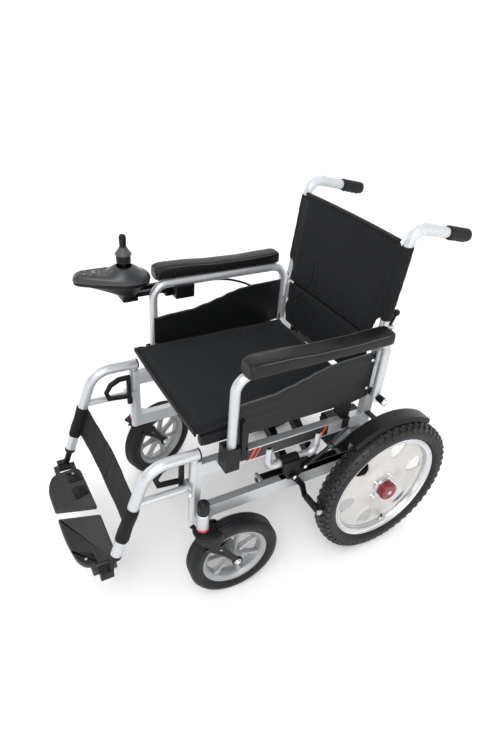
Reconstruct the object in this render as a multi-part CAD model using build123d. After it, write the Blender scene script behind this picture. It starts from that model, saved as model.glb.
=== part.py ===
from build123d import *
import math
import os

# Folding power wheelchair, millimetres.  +X is the user's left, -Y is forward, +Z is up.
# Shapes are drawn with Y = 0 on the rear axle; every part is then moved so that the
# origin lies on the floor under the middle of the whole chair.

# ---- driving dimensions ----
REAR_R = 206.5            # 16 x 2.125 rear tyre
REAR_X = 273.0            # middle plane of a rear wheel
REAR_HALF_W = 27.0
CASTER_R = 117.0          # solid front tyre
CASTER_HALF_W = 24.0
STEM_X, STEM_Y = 226.0, -508.0
TRAIL = 83.0
CASTER_TURN = {1: 4.0, -1: 20.0}   # angle at which the left and right casters stand
HUB_FACE_X = 309.0        # outer face of the clutch knob, the widest point
FRONT_Y = -789.0          # front edge of the footplates
AXLE_Y = -(FRONT_Y + REAR_R) / 2

RAIL_X, RAIL_W, RAIL_H, WALL = 193.5, 20.0, 36.0, 2.5
UPPER_Z, LOWER_Z = 399.0, 259.0
RAIL_IN, RAIL_OUT = RAIL_X - RAIL_W / 2, RAIL_X + RAIL_W / 2
UPPER_TOP = UPPER_Z + RAIL_H / 2
LOWER_TOP = LOWER_Z + RAIL_H / 2
LOWER_REAR_Y = 70.0
RECEIVER_R, RECEIVER_DEPTH = 8.1, 45.0    # socket for an anti-tip wheel in the lower rail
POST_Y, POST_R, POST_Z0, POST_Z1 = -519.0, 11.0, 240.0, 425.0
REAR_POST_Y, REAR_POST_D, REAR_POST_Z = -46.0, 28.0, 560.0
TUBE_R, TUBE_BORE = 11.0, 9.2
FIT = 0.06                # radial running clearance of pins and shafts

PIVOT_X, PIVOT_Z = 165.0, LOWER_Z + 3.0   # lower axes of the cross bars
SEAT_X, SEAT_Z, SEAT_R = 185.0, 470.0, 12.5
SEAT_Y0, SEAT_Y1 = -500.0, -82.0
CROSS_Z = PIVOT_Z + (SEAT_Z - PIVOT_Z) * PIVOT_X / (PIVOT_X + SEAT_X)
PAIR_Y = (-227.0, -147.0)                 # the two places where the bars cross
BAR_W, BAR_GAP = 20.0, 3.0

BACK_X, BACK_Y, BACK_Z = 192.0, -49.0, 620.0   # fold axis of the backrest
LEAN = 5.5
HANDLE_Z, HANDLE_Y1, HANDLE_DROP = 890.0, 148.0, 12.0
GRIP_R, GRIP_Y0 = 16.0, 80.0

ARM_X, ARM_FRONT_Y, ARM_REAR_Y, ARM_Z = 225.0, -446.0, -52.0, 642.5
ARM_END_Z, ARM_PIVOT_Z = 440.0, 487.0
PAD_X0, PAD_X1, PAD_Y0, PAD_Y1, PAD_Z0, PAD_Z1 = 219.0, 265.0, -438.0, -72.0, 654.0, 688.0
PANEL_X0, PANEL_X1 = 209.6, 213.6
LATCH_Y, LATCH_Z = -423.0, 445.0

BRAKE_Y, BRAKE_Z = -232.0, 322.0          # pivot of the brake lever
SHOE_PIVOT_Y, SHOE_PIVOT_Z = -262.0, 300.0
SHOE_Y, SHOE_Z = -215.5, 214.0

HANGER_X = 194.0
HANGER_TOP_Z = 442.0
HANGER_KNEE_Y = -624.0
HANGER_LOW_Y, HANGER_LOW_Z = -706.0, 212.0
FOOT_Z = 158.0            # underside of the footplates
FOOT_HINGE_X, FOOT_HINGE_Y, FOOT_HINGE_Z = HANGER_X - 14, -729.0, FOOT_Z + 10
STEM_TUBE_R = 8.0

LINK_X = (-244.0, -278.0)                 # the two bars of the joystick mount
LINK_Y = (-400.0, -490.0)
LINK_Z = 616.0
CONTROL_X, CONTROL_Y0, CONTROL_Y1, CONTROL_Z = -246.0, -636.0, -448.0, 664.0
STICK_Y, STICK_Z = -512.0, 706.0
KEY_R, KEY_Z = 4.5, CONTROL_Z + 17.0
KEY_PLACES = ((CONTROL_X + 9, -606.0), (CONTROL_X - 9, -606.0))
ROCKER_Y = -585.0
LEAD_ROUTE = [            # from the clamp to the connector on the armrest's rear leg
    (-242, -337.8, 624), (-242, -306, 624), (-240, -266, 626), (-236, -226, 622),
    (-232, -184, 609), (-230, -146, 590), (-229, -114, 564), (-227, -90, 536),
    (-226, -80, 508),
]

X, Y, Z = Vector(1, 0, 0), Vector(0, 1, 0), Vector(0, 0, 1)


# ---- helpers ----
def block(x, y, z, round_edges=0.0):
    """A box between pairs of limits, with all its edges rounded if asked."""
    solid = Pos((x[0] + x[1]) / 2, (y[0] + y[1]) / 2, (z[0] + z[1]) / 2) * Box(
        abs(x[1] - x[0]), abs(y[1] - y[0]), abs(z[1] - z[0])
    )
    return fillet(solid.edges(), round_edges) if round_edges else solid


def rod(start, end, r):
    """A cylinder between two points."""
    a, b = Vector(*start), Vector(*end)
    base = (Align.CENTER, Align.CENTER, Align.MIN)
    return Plane(origin=a, z_dir=b - a) * Cylinder(r, (b - a).length, align=base)


def pipe(points, bends, r, bore=0.0):
    """A round tube along straight runs joined by tangent arcs."""
    path = FilletPolyline(*points, radius=bends)
    start = Plane(origin=path @ 0, z_dir=path % 0)
    section = Circle(r) - Circle(bore) if bore else Circle(r)
    return sweep(start * section, path=path)


def side_plate(points, x0, x1):
    """A plate in the YZ plane from its outline, between two X values."""
    plane = Plane(origin=(x0, 0, 0), x_dir=(0, 1, 0), z_dir=(1, 0, 0))
    return extrude(plane * make_face(Polyline(*points, close=True)), x1 - x0)


def floor_plate(points, z0, z1):
    """A plate in the XY plane from its outline, between two Z values."""
    return Pos(0, 0, z0) * extrude(make_face(Polyline(*points, close=True)), z1 - z0)


def turned(points, centre):
    """A body turned about an axis along X through centre, from (x, r) points."""
    face = make_face(Polyline(*[(p[0], p[1], 0) for p in points], close=True))
    return Pos(0, centre[0], centre[1]) * revolve(face, axis=Axis.X)


def lean_point(z):
    """Y of the leaning back tube's centre at height z."""
    return BACK_Y + (z - BACK_Z) * math.tan(math.radians(LEAN))


def other_side(shape):
    return mirror(shape, about=Plane.YZ)


# ---- side frames ----
def frame_tubes(grow=0.0):
    """Rails and posts of one side; with grow = -WALL, the space inside them."""
    g = grow
    x = (RAIL_IN - g, RAIL_OUT + g)
    half = RAIL_H / 2 + g
    open_end = 1.0 if g else 0.0
    rail_end = LOWER_REAR_Y - (RECEIVER_DEPTH if g else 0.0)
    post_y = (REAR_POST_Y - REAR_POST_D / 2 - g, REAR_POST_Y + REAR_POST_D / 2 + g)
    tubes = block(x, (POST_Y, REAR_POST_Y), (UPPER_Z - half, UPPER_Z + half))
    tubes += block(x, (POST_Y, rail_end), (LOWER_Z - half, LOWER_Z + half))
    tubes += block(x, post_y, (LOWER_Z, REAR_POST_Z + g))
    post_z = (POST_Z0 - open_end, POST_Z1 + g)
    tubes += rod((RAIL_X, POST_Y, post_z[0]), (RAIL_X, POST_Y, post_z[1]), POST_R + g)
    tubes += block(x, (POST_Y, POST_Y + 14 + g), post_z)
    loop = [(198, -190, UPPER_Z), (198, -190, 335), (198, -330, 335), (198, -330, UPPER_Z)]
    return tubes + pipe(loop, 25, TUBE_R + g)


def caster_housing():
    top, bottom, r = 287.0, 238.0, 14.5
    body = rod((STEM_X, STEM_Y, bottom), (STEM_X, STEM_Y, top), r)
    gusset = [(RAIL_OUT - 2, -524), (STEM_X - 6, -522), (STEM_X - 6, -498), (RAIL_OUT - 2, -462)]
    body += floor_plate(gusset, 243, 272)
    return body - rod((STEM_X, STEM_Y, bottom - 1), (STEM_X, STEM_Y, top + 1), 8 + FIT)


def frame_zones():
    """Boxes that part the side frame into its rails, posts, loop, housing, ears and plate."""
    front, rear = (-600, POST_Y + 14), (REAR_POST_Y - REAR_POST_D / 2, 200)
    middle, behind = (front[1], rear[0]), (front[1], 200)
    inner, wide = (0, RAIL_OUT + 1.5), (0, 300)
    rail = (RAIL_IN, RAIL_OUT + 1.5)
    gap_z = LOWER_TOP + 20
    return [
        block((rail[1], 300), (-600, 200), (0, gap_z)),
        block(inner, front, (0, 700)),
        block((0, RAIL_IN), behind, (0, gap_z)),
        block(rail, behind, (0, LOWER_Z - RAIL_H / 2)),
        block(rail, behind, (LOWER_Z - RAIL_H / 2, LOWER_TOP)),
        block(wide, middle, (gap_z, UPPER_Z - RAIL_H / 2)),
        block(wide, middle, (UPPER_Z - RAIL_H / 2, 700)),
        block(wide, rear, (LOWER_TOP, 700)),
    ]


def side_frame():
    """The welded side frame, as the tubes and plates that it is welded from."""
    frame = frame_tubes() - frame_tubes(-WALL)
    socket_end = LOWER_REAR_Y - RECEIVER_DEPTH - 1
    frame -= rod((RAIL_X, socket_end, LOWER_Z), (RAIL_X, LOWER_REAR_Y + 1, LOWER_Z), RECEIVER_R)
    frame += caster_housing()
    plate = block((184.5, 191.5), (-48, 48), (166, LOWER_Z - RAIL_H / 2 + 1))
    frame += plate - rod((180, 0, REAR_R), (196, 0, REAR_R), 33.8)
    for y in (-326.0, -82.0):
        ear = block((PIVOT_X - 14, RAIL_IN + 0.5), (y - 4, y + 4), (PIVOT_Z - 13, PIVOT_Z + 13))
        frame += ear - rod((PIVOT_X, y - 5, PIVOT_Z), (PIVOT_X, y + 5, PIVOT_Z), 8 + FIT)
    stub = rod((BACK_X, BACK_Y, REAR_POST_Z - 1), (BACK_X, BACK_Y, BACK_Z - 20), TUBE_R)
    tongue = block((BACK_X - 4, BACK_X + 4), (BACK_Y - 9, BACK_Y + 9), (BACK_Z - 21, BACK_Z))
    tongue += rod((BACK_X - 4, BACK_Y, BACK_Z), (BACK_X + 4, BACK_Y, BACK_Z), 9)
    frame += stub + tongue
    frame -= rod((BACK_X - 8, BACK_Y, BACK_Z), (BACK_X + 8, BACK_Y, BACK_Z), 4 + FIT)
    return [piece for zone in frame_zones() for piece in (frame & zone).solids()]


def saddle(y):
    """A moulded cradle that hangs on the upper rail and carries the seat tube."""
    clear = 0.6
    cradle = block((SEAT_X - 18, SEAT_X + 15), (y - 11, y + 11), (UPPER_TOP + 0.2, SEAT_Z - 4))
    slot = rod((SEAT_X, y - 12, SEAT_Z), (SEAT_X, y + 12, SEAT_Z), SEAT_R + clear)
    hook = block((RAIL_OUT + 0.2, RAIL_OUT + 4.5), (y - 9, y + 9), (392, UPPER_TOP + 4))
    bridge = block((SEAT_X + 10, RAIL_OUT + 4.5), (y - 9, y + 9), (UPPER_TOP + 0.2, UPPER_TOP + 6))
    return cradle + hook + bridge - slot


def armrest_socket():
    """The open catch that holds the front leg of the armrest, with the latch's ear."""
    body = block((RAIL_OUT + 0.2, 240), (-465, -431), (405, 466))
    pocket = block((ARM_X - 11.8, ARM_X + 11.8), (-461, -434.4), (ARM_END_Z - 2, 470))
    ear = block((220, 226), (-432, -416), (437, 453))
    bore = rod((219, LATCH_Y, LATCH_Z), (227, LATCH_Y, LATCH_Z), 3 + FIT)
    return body - pocket + (ear - bore)


def fender():
    """A curved mudguard over the front and top of the rear wheel."""
    section = [(234, 217), (270, 217), (276, 209), (278.5, 209), (273, 220), (234, 220)]
    ring = turned(section, (0, REAR_R))
    wedge = [(0, REAR_R)]
    wedge += [
        (300 * math.sin(math.radians(a)), REAR_R + 300 * math.cos(math.radians(a)))
        for a in (-36, -12, 12, 32)
    ]
    guard = ring & side_plate(wedge, 220, 290)
    return guard + block((RAIL_OUT + 0.2, 240), (-54, -38), (419, 421.4))


def frame_fittings():
    """Black fittings of one side frame: fender, seat saddles, socket, plugs and bolts."""
    parts = [armrest_socket(), saddle(-400), saddle(-112), fender()]
    cap = rod((STEM_X, STEM_Y, 287.2), (STEM_X, STEM_Y, 313.2), 14.5)
    dome = Pos(STEM_X, STEM_Y, 313.2) * Sphere(14.5)
    parts.append(cap + dome - rod((STEM_X, STEM_Y, 280), (STEM_X, STEM_Y, 310), 11.5))
    bolt = rod((RAIL_OUT + 0.1, ARM_REAR_Y, ARM_PIVOT_Z), (262, ARM_REAR_Y, ARM_PIVOT_Z), 5)
    bolt += rod((RAIL_OUT + 0.1, ARM_REAR_Y, ARM_PIVOT_Z), (213.4, ARM_REAR_Y, ARM_PIVOT_Z), 9)
    bolt += rod((236.8, ARM_REAR_Y, ARM_PIVOT_Z), (257, ARM_REAR_Y, ARM_PIVOT_Z), 9)
    parts.append(bolt)
    parts.append(brake_bracket())
    return parts


def armrest_latch():
    """The upright lever that locks the armrest's front leg in its socket."""
    y, z = LATCH_Y, LATCH_Z
    outline = [(y - 5, z), (y + 5, z), (y + 2, z + 88), (y - 2, z + 94), (y - 8, z + 88)]
    lever = side_plate(outline, 227, 240)
    lever += rod((227, y, z), (240, y, z), 5.6)
    return lever + rod((220.5, y, z), (228, y, z), 3)


# ---- parking brake ----
def brake_bracket():
    """A clamp round the brake loop with a plate that carries both brake pivots."""
    clamp = rod((198, -292, 335), (198, -242, 335), 15)
    clamp -= rod((198, -293, 335), (198, -241, 335), 11.2)
    outline = [(-292, 345), (-222, 345), (-222, 308), (-250, 286), (-276, 290), (-292, 318)]
    plate = side_plate(outline, 213.6, 218.4)
    lug = block((208, 215), (-289, -245), (326, 343))
    plate -= rod((210, BRAKE_Y, BRAKE_Z), (220, BRAKE_Y, BRAKE_Z), 4 + FIT)
    plate -= rod((210, SHOE_PIVOT_Y, SHOE_PIVOT_Z), (220, SHOE_PIVOT_Y, SHOE_PIVOT_Z), 4 + FIT)
    lug -= rod((198, -293, 335), (198, -241, 335), 11.2)
    return clamp + lug + plate


def brake_lever():
    """The long lever, with its grip up and to the rear."""
    hub = rod((219, BRAKE_Y, BRAKE_Z), (226, BRAKE_Y, BRAKE_Z), 9)
    pin = rod((211, BRAKE_Y, BRAKE_Z), (220, BRAKE_Y, BRAKE_Z), 4)
    stick = rod((223.6, BRAKE_Y, BRAKE_Z), (230, -160, 376), 4.5)
    grip = rod((229, -166, 371), (238, -122, 414), 9)
    return hub + pin + stick + fillet(grip.edges().filter_by(GeomType.CIRCLE), 4)


def brake_arm():
    """The arm below the bracket, with the ribbed shoe that presses on the tyre."""
    y, z = SHOE_PIVOT_Y, SHOE_PIVOT_Z
    hub = rod((219, y, z), (228, y, z), 9)
    pin = rod((211, y, z), (220, y, z), 4)
    outline = [
        (y - 7, z - 4), (y + 5, z + 7), (-224, 262), (SHOE_Y + 6, SHOE_Z),
        (SHOE_Y - 6, SHOE_Z - 4), (-238, 256),
    ]
    arm = side_plate(outline, 219, 225)
    shoe = rod((219, SHOE_Y, SHOE_Z), (290, SHOE_Y, SHOE_Z), 8)
    return hub + pin + arm + shoe


# ---- wheels ----
def rear_tyre():
    w = REAR_HALF_W
    outline = [
        (-13.6, 155), (-14.6, 162.4), (-w + 4, 164), (-w, 180), (-w + 2, 194), (-w + 9, 203),
        (-8, REAR_R), (8, REAR_R), (w - 9, 203), (w - 2, 194), (w, 180), (w - 4, 164),
        (14.6, 162.4), (13.6, 155),
    ]
    return turned([(REAR_X + x, r) for x, r in outline], (0, REAR_R))


def rear_rim():
    """The rolled rim, and the disc welded into it with six windows, a hub and five bolts."""
    barrel = [
        (257, 145), (290, 145), (291.5, 162), (288, 162), (287, 154.8), (259, 154.8),
        (258, 162), (254.5, 162),
    ]
    dish = [
        (252, 5), (281, 5), (281, 46), (271, 58), (266, 120), (270, 145), (265, 145),
        (261, 120), (266, 56), (252, 50),
    ]
    rim = turned(barrel, (0, REAR_R))
    disc = turned(dish, (0, REAR_R))
    for i in range(6):
        turn = Pos(0, 0, REAR_R) * Rot(60 * i + 15, 0, 0)
        outline = [(-16, 92), (16, 92), (24, 122), (12, 134), (-12, 134), (-24, 122)]
        disc -= turn * side_plate(outline, 255, 280)
    disc -= rod((250, 0, REAR_R), (285, 0, REAR_R), 10 + FIT)
    for i in range(5):
        turn = Pos(0, 0, REAR_R) * Rot(72 * i + 20, 0, 0)
        disc += turn * rod((276, 0, 36), (286, 0, 36), 4.5)
    return [rim, disc]


def clutch_knob():
    """The round knob on the hub that frees the wheel from its motor."""
    face = HUB_FACE_X
    section = [(287, 0), (face - 2, 0), (face, 8), (face, 23), (face - 2, 25), (287, 25)]
    body = turned(section, (0, REAR_R))
    return body - rod((286, 0, REAR_R), (300, 0, REAR_R), 10 + FIT)


def gear_motor():
    """Motor and gearbox in line, bolted to the frame's plate, with the wheel's axle."""
    body = rod((112, 0, REAR_R), (182, 0, REAR_R), 38)
    body += rod((182, 0, REAR_R), (207, 0, REAR_R), 33.5)
    body += rod((207, 0, REAR_R), (240, 0, REAR_R), 24)
    return body + rod((240, 0, REAR_R), (299, 0, REAR_R), 10)


def caster_fork():
    """The arched fork: stem, crown and two windowed cheeks with the axle between them."""
    axle_y = STEM_Y + TRAIL
    half_in, half_out = CASTER_HALF_W + 3, CASTER_HALF_W + 7
    stem = rod((STEM_X, STEM_Y, 230), (STEM_X, STEM_Y, 296), 8)
    stem += rod((STEM_X, STEM_Y, 230), (STEM_X, STEM_Y, 237.6), 13)
    crown = block((STEM_X - half_out, STEM_X + half_out), (-533, -474), (226, 231))
    fork = stem + fillet(crown.edges().filter_by(Axis.Z), 6)
    outline = [
        (-533, 231), (-474, 231), (-449, 186), (axle_y + 9, 120), (axle_y, 106),
        (axle_y - 10, 112), (-521, 186),
    ]
    window = [(-498, 182), (-468, 182), (axle_y - 4, 136), (axle_y - 9, 134)]
    for side in (-1, 1):
        a, b = STEM_X + side * half_in, STEM_X + side * half_out
        cheek = side_plate(outline, min(a, b), max(a, b))
        fork += cheek - side_plate(window, min(a, b) - 1, max(a, b) + 1)
    reach = half_out + 5
    axle = rod((STEM_X - reach, axle_y, CASTER_R), (STEM_X + reach, axle_y, CASTER_R), 6)
    return fork + axle


def caster_wheel():
    """The solid tyre and its seven-spoke plastic wheel, moulded as one."""
    axle_y = STEM_Y + TRAIL
    w, centre = CASTER_HALF_W, (axle_y, CASTER_R)
    tyre = [
        (-w + 4, 84), (-w, 94), (-w + 2, 108), (-w + 9, 115), (-8, CASTER_R), (8, CASTER_R),
        (w - 9, 115), (w - 2, 108), (w, 94), (w - 4, 84),
    ]
    rim = [(-18, 74), (18, 74), (20, 85), (-20, 85)]
    wheel = turned([(STEM_X + x, r) for x, r in tyre], centre)
    wheel += turned([(STEM_X + x, r) for x, r in rim], centre)
    wheel += rod((STEM_X - 22, axle_y, CASTER_R), (STEM_X + 22, axle_y, CASTER_R), 16)
    for i in range(7):
        turn = Pos(0, axle_y, CASTER_R) * Rot(360 / 7 * i, 0, 0)
        wheel += turn * block((STEM_X - 11, STEM_X + 11), (-5, 5), (12, 76))
    bore = rod((STEM_X - 30, axle_y, CASTER_R), (STEM_X + 30, axle_y, CASTER_R), 6 + FIT)
    return wheel - bore


def caster_turned(side):
    """The swivel of one caster, left 1 or right -1, about its stem."""
    stem = Pos(side * STEM_X, STEM_Y, 0)
    return stem * Rot(0, 0, -CASTER_TURN[side]) * stem.inverse()


# ---- cross bars, seat ----
def cross_bar(side, shift):
    """A folding bar from the lower rail on one side to the seat tube on the other."""
    lower, upper = side * PIVOT_X, -side * SEAT_X
    bar = rod((lower, -318, PIVOT_Z), (lower, -90, PIVOT_Z), SEAT_R)
    bar += rod((lower, -331, PIVOT_Z), (lower, -77, PIVOT_Z), 8)
    bar += rod((upper, SEAT_Y0, SEAT_Z), (upper, SEAT_Y1, SEAT_Z), SEAT_R)
    run = Vector(upper - lower, 0, SEAT_Z - PIVOT_Z)
    for y in PAIR_Y:
        middle = Vector((lower + upper) / 2, y + shift, (PIVOT_Z + SEAT_Z) / 2)
        plane = Plane(origin=middle, x_dir=run, z_dir=(0, 1, 0))
        bar += plane * Box(run.length, 28, BAR_W)
    return bar


def cross_bars():
    """Both bars; the first one carries the pivot bolts at the crossings."""
    shift = (BAR_W + BAR_GAP) / 2
    a, b = cross_bar(1, -shift), cross_bar(-1, shift)
    for y in PAIR_Y:
        a += rod((0, y - BAR_W - 6, CROSS_Z), (0, y + BAR_W + 6, CROSS_Z), 5)
        b -= rod((0, y - BAR_W - 8, CROSS_Z), (0, y + BAR_W + 8, CROSS_Z), 5 + FIT)
        a += rod((0, y + BAR_W + 4, CROSS_Z), (0, y + BAR_W + 9, CROSS_Z), 9)
    return a, b


def seat_pad():
    return block((-187, 187), (-508, -78), (SEAT_Z + SEAT_R + 1, SEAT_Z + SEAT_R + 15))


# ---- backrest ----
def back_tube():
    """The upper back tube with its push handle, hinge ears, pin and lever bracket."""
    corner = (BACK_X, lean_point(HANDLE_Z), HANDLE_Z)
    fall = math.tan(math.radians(HANDLE_DROP)) * (HANDLE_Y1 - 1 - corner[1])
    end = (BACK_X, HANDLE_Y1 - 1, HANDLE_Z - fall)
    start = (BACK_X, lean_point(BACK_Z + 14), BACK_Z + 14)
    tube = pipe([start, corner, end], 34, TUBE_R, TUBE_BORE)
    for x in (BACK_X - 9, BACK_X + 4.3):
        ear = block((x, x + 4.7), (BACK_Y - 8, BACK_Y + 8), (BACK_Z, BACK_Z + 18))
        tube += ear + rod((x, BACK_Y, BACK_Z), (x + 4.7, BACK_Y, BACK_Z), 8)
        bracket = block((x, x + 4.7), (-40, -20), (BACK_Z + 24, BACK_Z + 40))
        tube += bracket - rod((x - 1, -27, BACK_Z + 32), (x + 6, -27, BACK_Z + 32), 2.5 + FIT)
    tube += rod((BACK_X - 9, BACK_Y, BACK_Z), (BACK_X + 9, BACK_Y, BACK_Z), 4)
    return tube


def push_grip():
    """The rubber grip with finger grooves underneath."""
    slope = math.radians(HANDLE_DROP)
    step = Vector(0, math.cos(slope), -math.sin(slope))
    length = (HANDLE_Y1 - GRIP_Y0) / math.cos(slope)
    end = Vector(BACK_X, HANDLE_Y1, HANDLE_Z - math.tan(slope) * (HANDLE_Y1 - lean_point(HANDLE_Z)))
    start = end - step * length
    grip = rod(start, end + step * 3, GRIP_R)
    grip = fillet(grip.edges().filter_by(GeomType.CIRCLE), 4)
    grip -= rod(start - step, end - step * 0.5, TUBE_R + 0.1)
    for i in range(4):
        spot = start + step * (12 + 15 * i) + Vector(0, 0, -GRIP_R - 2.5)
        grip -= rod(spot - X * 20, spot + X * 20, 5)
    return grip


def back_lever():
    """The small lever behind the tube that frees the fold hinge."""
    hub = rod((BACK_X - 4, -27, BACK_Z + 32), (BACK_X + 4, -27, BACK_Z + 32), 5)
    pin = rod((BACK_X - 9, -27, BACK_Z + 32), (BACK_X + 9, -27, BACK_Z + 32), 2.5)
    arm = rod((BACK_X, -27, BACK_Z + 32), (BACK_X, -13, BACK_Z + 66), 3.8)
    return hub + pin + arm + Pos(BACK_X, -13, BACK_Z + 68) * Sphere(8)


def lean_slab(x, y_front, y_rear, z):
    """A slab that leans with the back tubes."""
    tan = math.tan(math.radians(LEAN))
    outline = [
        (y_front + (h - BACK_Z) * tan if k < 2 else y_rear + (h - BACK_Z) * tan, h)
        for k, h in enumerate((z[0], z[1], z[1], z[0]))
    ]
    return side_plate(outline, x[0], x[1])


def back_upholstery():
    """The upper back panel and the two sleeves that slide over the back tubes."""
    panel = lean_slab((-176, 176), -66, -57, (BACK_Z + 1, 856))
    for side in (-1, 1):
        low = (side * BACK_X, lean_point(676), 676)
        high = (side * BACK_X, lean_point(850), 850)
        panel += rod(low, high, 14.5)
        web = (176, 186) if side > 0 else (-186, -176)
        panel += lean_slab(web, -64, -52, (676, 850))
    for side in (-1, 1):
        low = (side * BACK_X, lean_point(600), 600)
        high = (side * BACK_X, lean_point(880), 880)
        panel -= rod(low, high, TUBE_R + 0.3)
    return panel


def lower_back_panel():
    """The fixed lower part of the back upholstery, below the fold axis."""
    panel = block((-176, 176), (-66, -58), (503, BACK_Z - 1))
    return panel + block((176, RAIL_IN - 0.5), (-66, -61), (512, 556))


# ---- armrests ----
def armrest_frame():
    """The looped tube with its eye for the rear pivot bolt."""
    points = [
        (ARM_X, ARM_FRONT_Y, ARM_END_Z), (ARM_X, ARM_FRONT_Y, ARM_Z),
        (ARM_X, ARM_REAR_Y, ARM_Z), (ARM_X, ARM_REAR_Y, ARM_PIVOT_Z - 14),
    ]
    y, z = ARM_REAR_Y, ARM_PIVOT_Z
    tube = pipe(points, 38, TUBE_R, TUBE_BORE)
    tube += rod((ARM_X - 9.5, y, z), (ARM_X + 9.5, y, z), 8)
    return tube - rod((ARM_X - 20, y, z), (ARM_X + 20, y, z), 5 + FIT)


def armrest_pad():
    return block((PAD_X0, PAD_X1), (PAD_Y0, PAD_Y1), (PAD_Z0, PAD_Z1), 7)


def side_panel():
    """The skirt guard with its S-shaped top edge."""
    plane = Plane(origin=(PANEL_X0, 0, 0), x_dir=(0, 1, 0), z_dir=(1, 0, 0))
    top = Spline((-450, 556), (-345, 562), (-262, 583), (-195, 601), (-66, 607))
    corners = [(-66, 607), (-66, 482), (-110, 473), (-440, 473), (-450, 483), (-450, 556)]
    rest = Polyline(*corners)
    return extrude(plane * make_face(top + rest), PANEL_X1 - PANEL_X0)


# ---- leg rests ----
def hanger():
    """The bent hanger tube with its strut and the clamp on the front post."""
    x = HANGER_X
    low = Vector(x, HANGER_LOW_Y, HANGER_LOW_Z)
    knee = Vector(x, HANGER_KNEE_Y, HANGER_TOP_Z)
    tube = pipe([(x, -508, HANGER_TOP_Z), tuple(knee), tuple(low)], 62, 13)
    run = (low - knee).normalized()
    tube -= rod(low - run * 130, low + run * 2, STEM_TUBE_R + FIT)
    tube += rod((x, POST_Y, POST_Z1 + 0.3), (x, POST_Y, HANGER_TOP_Z - 8), 10)
    tube += rod((x, -652, 352), (x, POST_Y - 13, 350), 9)
    clamp = block((x - 15, x + 15), (POST_Y - 17, POST_Y - 11.6), (334, 364))
    clamp += block((x - 15, x - 11.6), (POST_Y - 17, POST_Y + 4), (334, 364))
    clamp += rod((x + 4, POST_Y - 17.5, 349), (x + 21, POST_Y - 17.5, 349), 6)
    return tube + clamp


def hanger_run():
    """Unit vector down the hanger's lower leg."""
    low = Vector(0, HANGER_LOW_Y, HANGER_LOW_Z)
    return (low - Vector(0, HANGER_KNEE_Y, HANGER_TOP_Z)).normalized()


def release_handle():
    """The D-shaped handle that frees the hanger."""
    x0, x1 = HANGER_X - 25, HANGER_X - 16
    rim = [(-534, 352), (-598, 360), (-606, 384), (-592, 410), (-566, 424), (-534, 424)]
    hole = [(-545, 364), (-588, 369), (-595, 384), (-584, 401), (-562, 412), (-545, 412)]
    outer = side_plate(rim, x0, x1)
    inner = side_plate(hole, x0 - 1, x1 + 1)
    pin = rod((x0, -538, 340), (x1, -538, 340), 4)
    arm = side_plate([(-545, 334), (-532, 334), (-532, 354), (-545, 354)], x0, x1)
    return outer - inner + pin + arm


def calf_strap():
    """Half of the calf strap: a sleeve round the hanger and a band to the middle."""
    run = hanger_run()
    top = Vector(HANGER_X, HANGER_KNEE_Y, HANGER_TOP_Z) + run * 105
    sleeve = rod(top, top + run * 90, 15.5) - rod(top - run, top + run * 91, 13.3)
    across = Vector(0, -run.Z, run.Y)
    band_x = (3.0, HANGER_X)
    centre = X * (sum(band_x) / 2) + Vector(0, top.Y, top.Z) + run * 45 + across * 14.3
    plane = Plane(origin=centre, x_dir=(1, 0, 0), z_dir=tuple(across))
    band = plane * Box(band_x[1] - band_x[0], 86, 2.4)
    band -= rod(top - run * 9, top + run * 99, 13.3)
    return sleeve + band


def footplate_stem():
    """The telescoping stem and the bracket that the footplate hinges on."""
    run = hanger_run()
    low = Vector(HANGER_X, HANGER_LOW_Y, HANGER_LOW_Z)
    foot = low + run * 42
    stem = rod(low - run * 100, foot, STEM_TUBE_R)
    y0, y1 = FOOT_HINGE_Y - 15, FOOT_HINGE_Y + 15
    yoke = block((HANGER_X - 9, HANGER_X + 9), (y0, y1), (FOOT_Z - 2, FOOT_Z + 20))
    yoke += rod((FOOT_HINGE_X, y0, FOOT_HINGE_Z), (FOOT_HINGE_X, y1, FOOT_HINGE_Z), 9)
    pin = rod((FOOT_HINGE_X, y0 - 11, FOOT_HINGE_Z), (FOOT_HINGE_X, y1 + 11, FOOT_HINGE_Z), 4)
    return stem + yoke + pin


def footplate(inner_front, inner_rear):
    """A moulded footplate; its inner edge may slant between front and rear."""
    z0, z1 = FOOT_Z, FOOT_Z + 13
    outline = [
        (inner_front, FRONT_Y), (inner_front + 70, FRONT_Y), (135, -780), (160, -764), (166, -706),
        (152, -693), (inner_rear, -691),
    ]
    plate = fillet(floor_plate(outline, z0, z1).edges().filter_by(Axis.Z), 5)
    for y0, y1 in ((-27, -15.5), (15.5, 27)):
        y0, y1 = FOOT_HINGE_Y + y0, FOOT_HINGE_Y + y1
        ear = block((156, FOOT_HINGE_X), (y0, y1), (FOOT_HINGE_Z - 9, FOOT_HINGE_Z + 4))
        ear += rod((FOOT_HINGE_X, y0, FOOT_HINGE_Z), (FOOT_HINGE_X, y1, FOOT_HINGE_Z), 9)
        a, b = (FOOT_HINGE_X, y0 - 1, FOOT_HINGE_Z), (FOOT_HINGE_X, y1 + 1, FOOT_HINGE_Z)
        plate += ear - rod(a, b, 4 + FIT)
    return plate


# ---- joystick on the right armrest ----
def joystick_clamp():
    """The block under the right armrest tube that the mount's bars swing on."""
    y0 = LINK_Y[0]
    body = block((-290, -206), (y0 + 9, -338), (LINK_Z - 14, 638), 3)
    ears = block((-290, -234), (y0 - 8, y0 + 12), (LINK_Z - 14, LINK_Z - 6.2))
    ears += block((-290, -234), (y0 - 8, y0 + 12), (LINK_Z + 6.2, LINK_Z + 11))
    body += ears
    for x in LINK_X:
        body -= rod((x, y0, LINK_Z - 15), (x, y0, LINK_Z + 13), 3 + FIT)
    return body - rod((-ARM_X, y0 - 20, ARM_Z), (-ARM_X, -330, ARM_Z), TUBE_R + 0.2)


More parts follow.
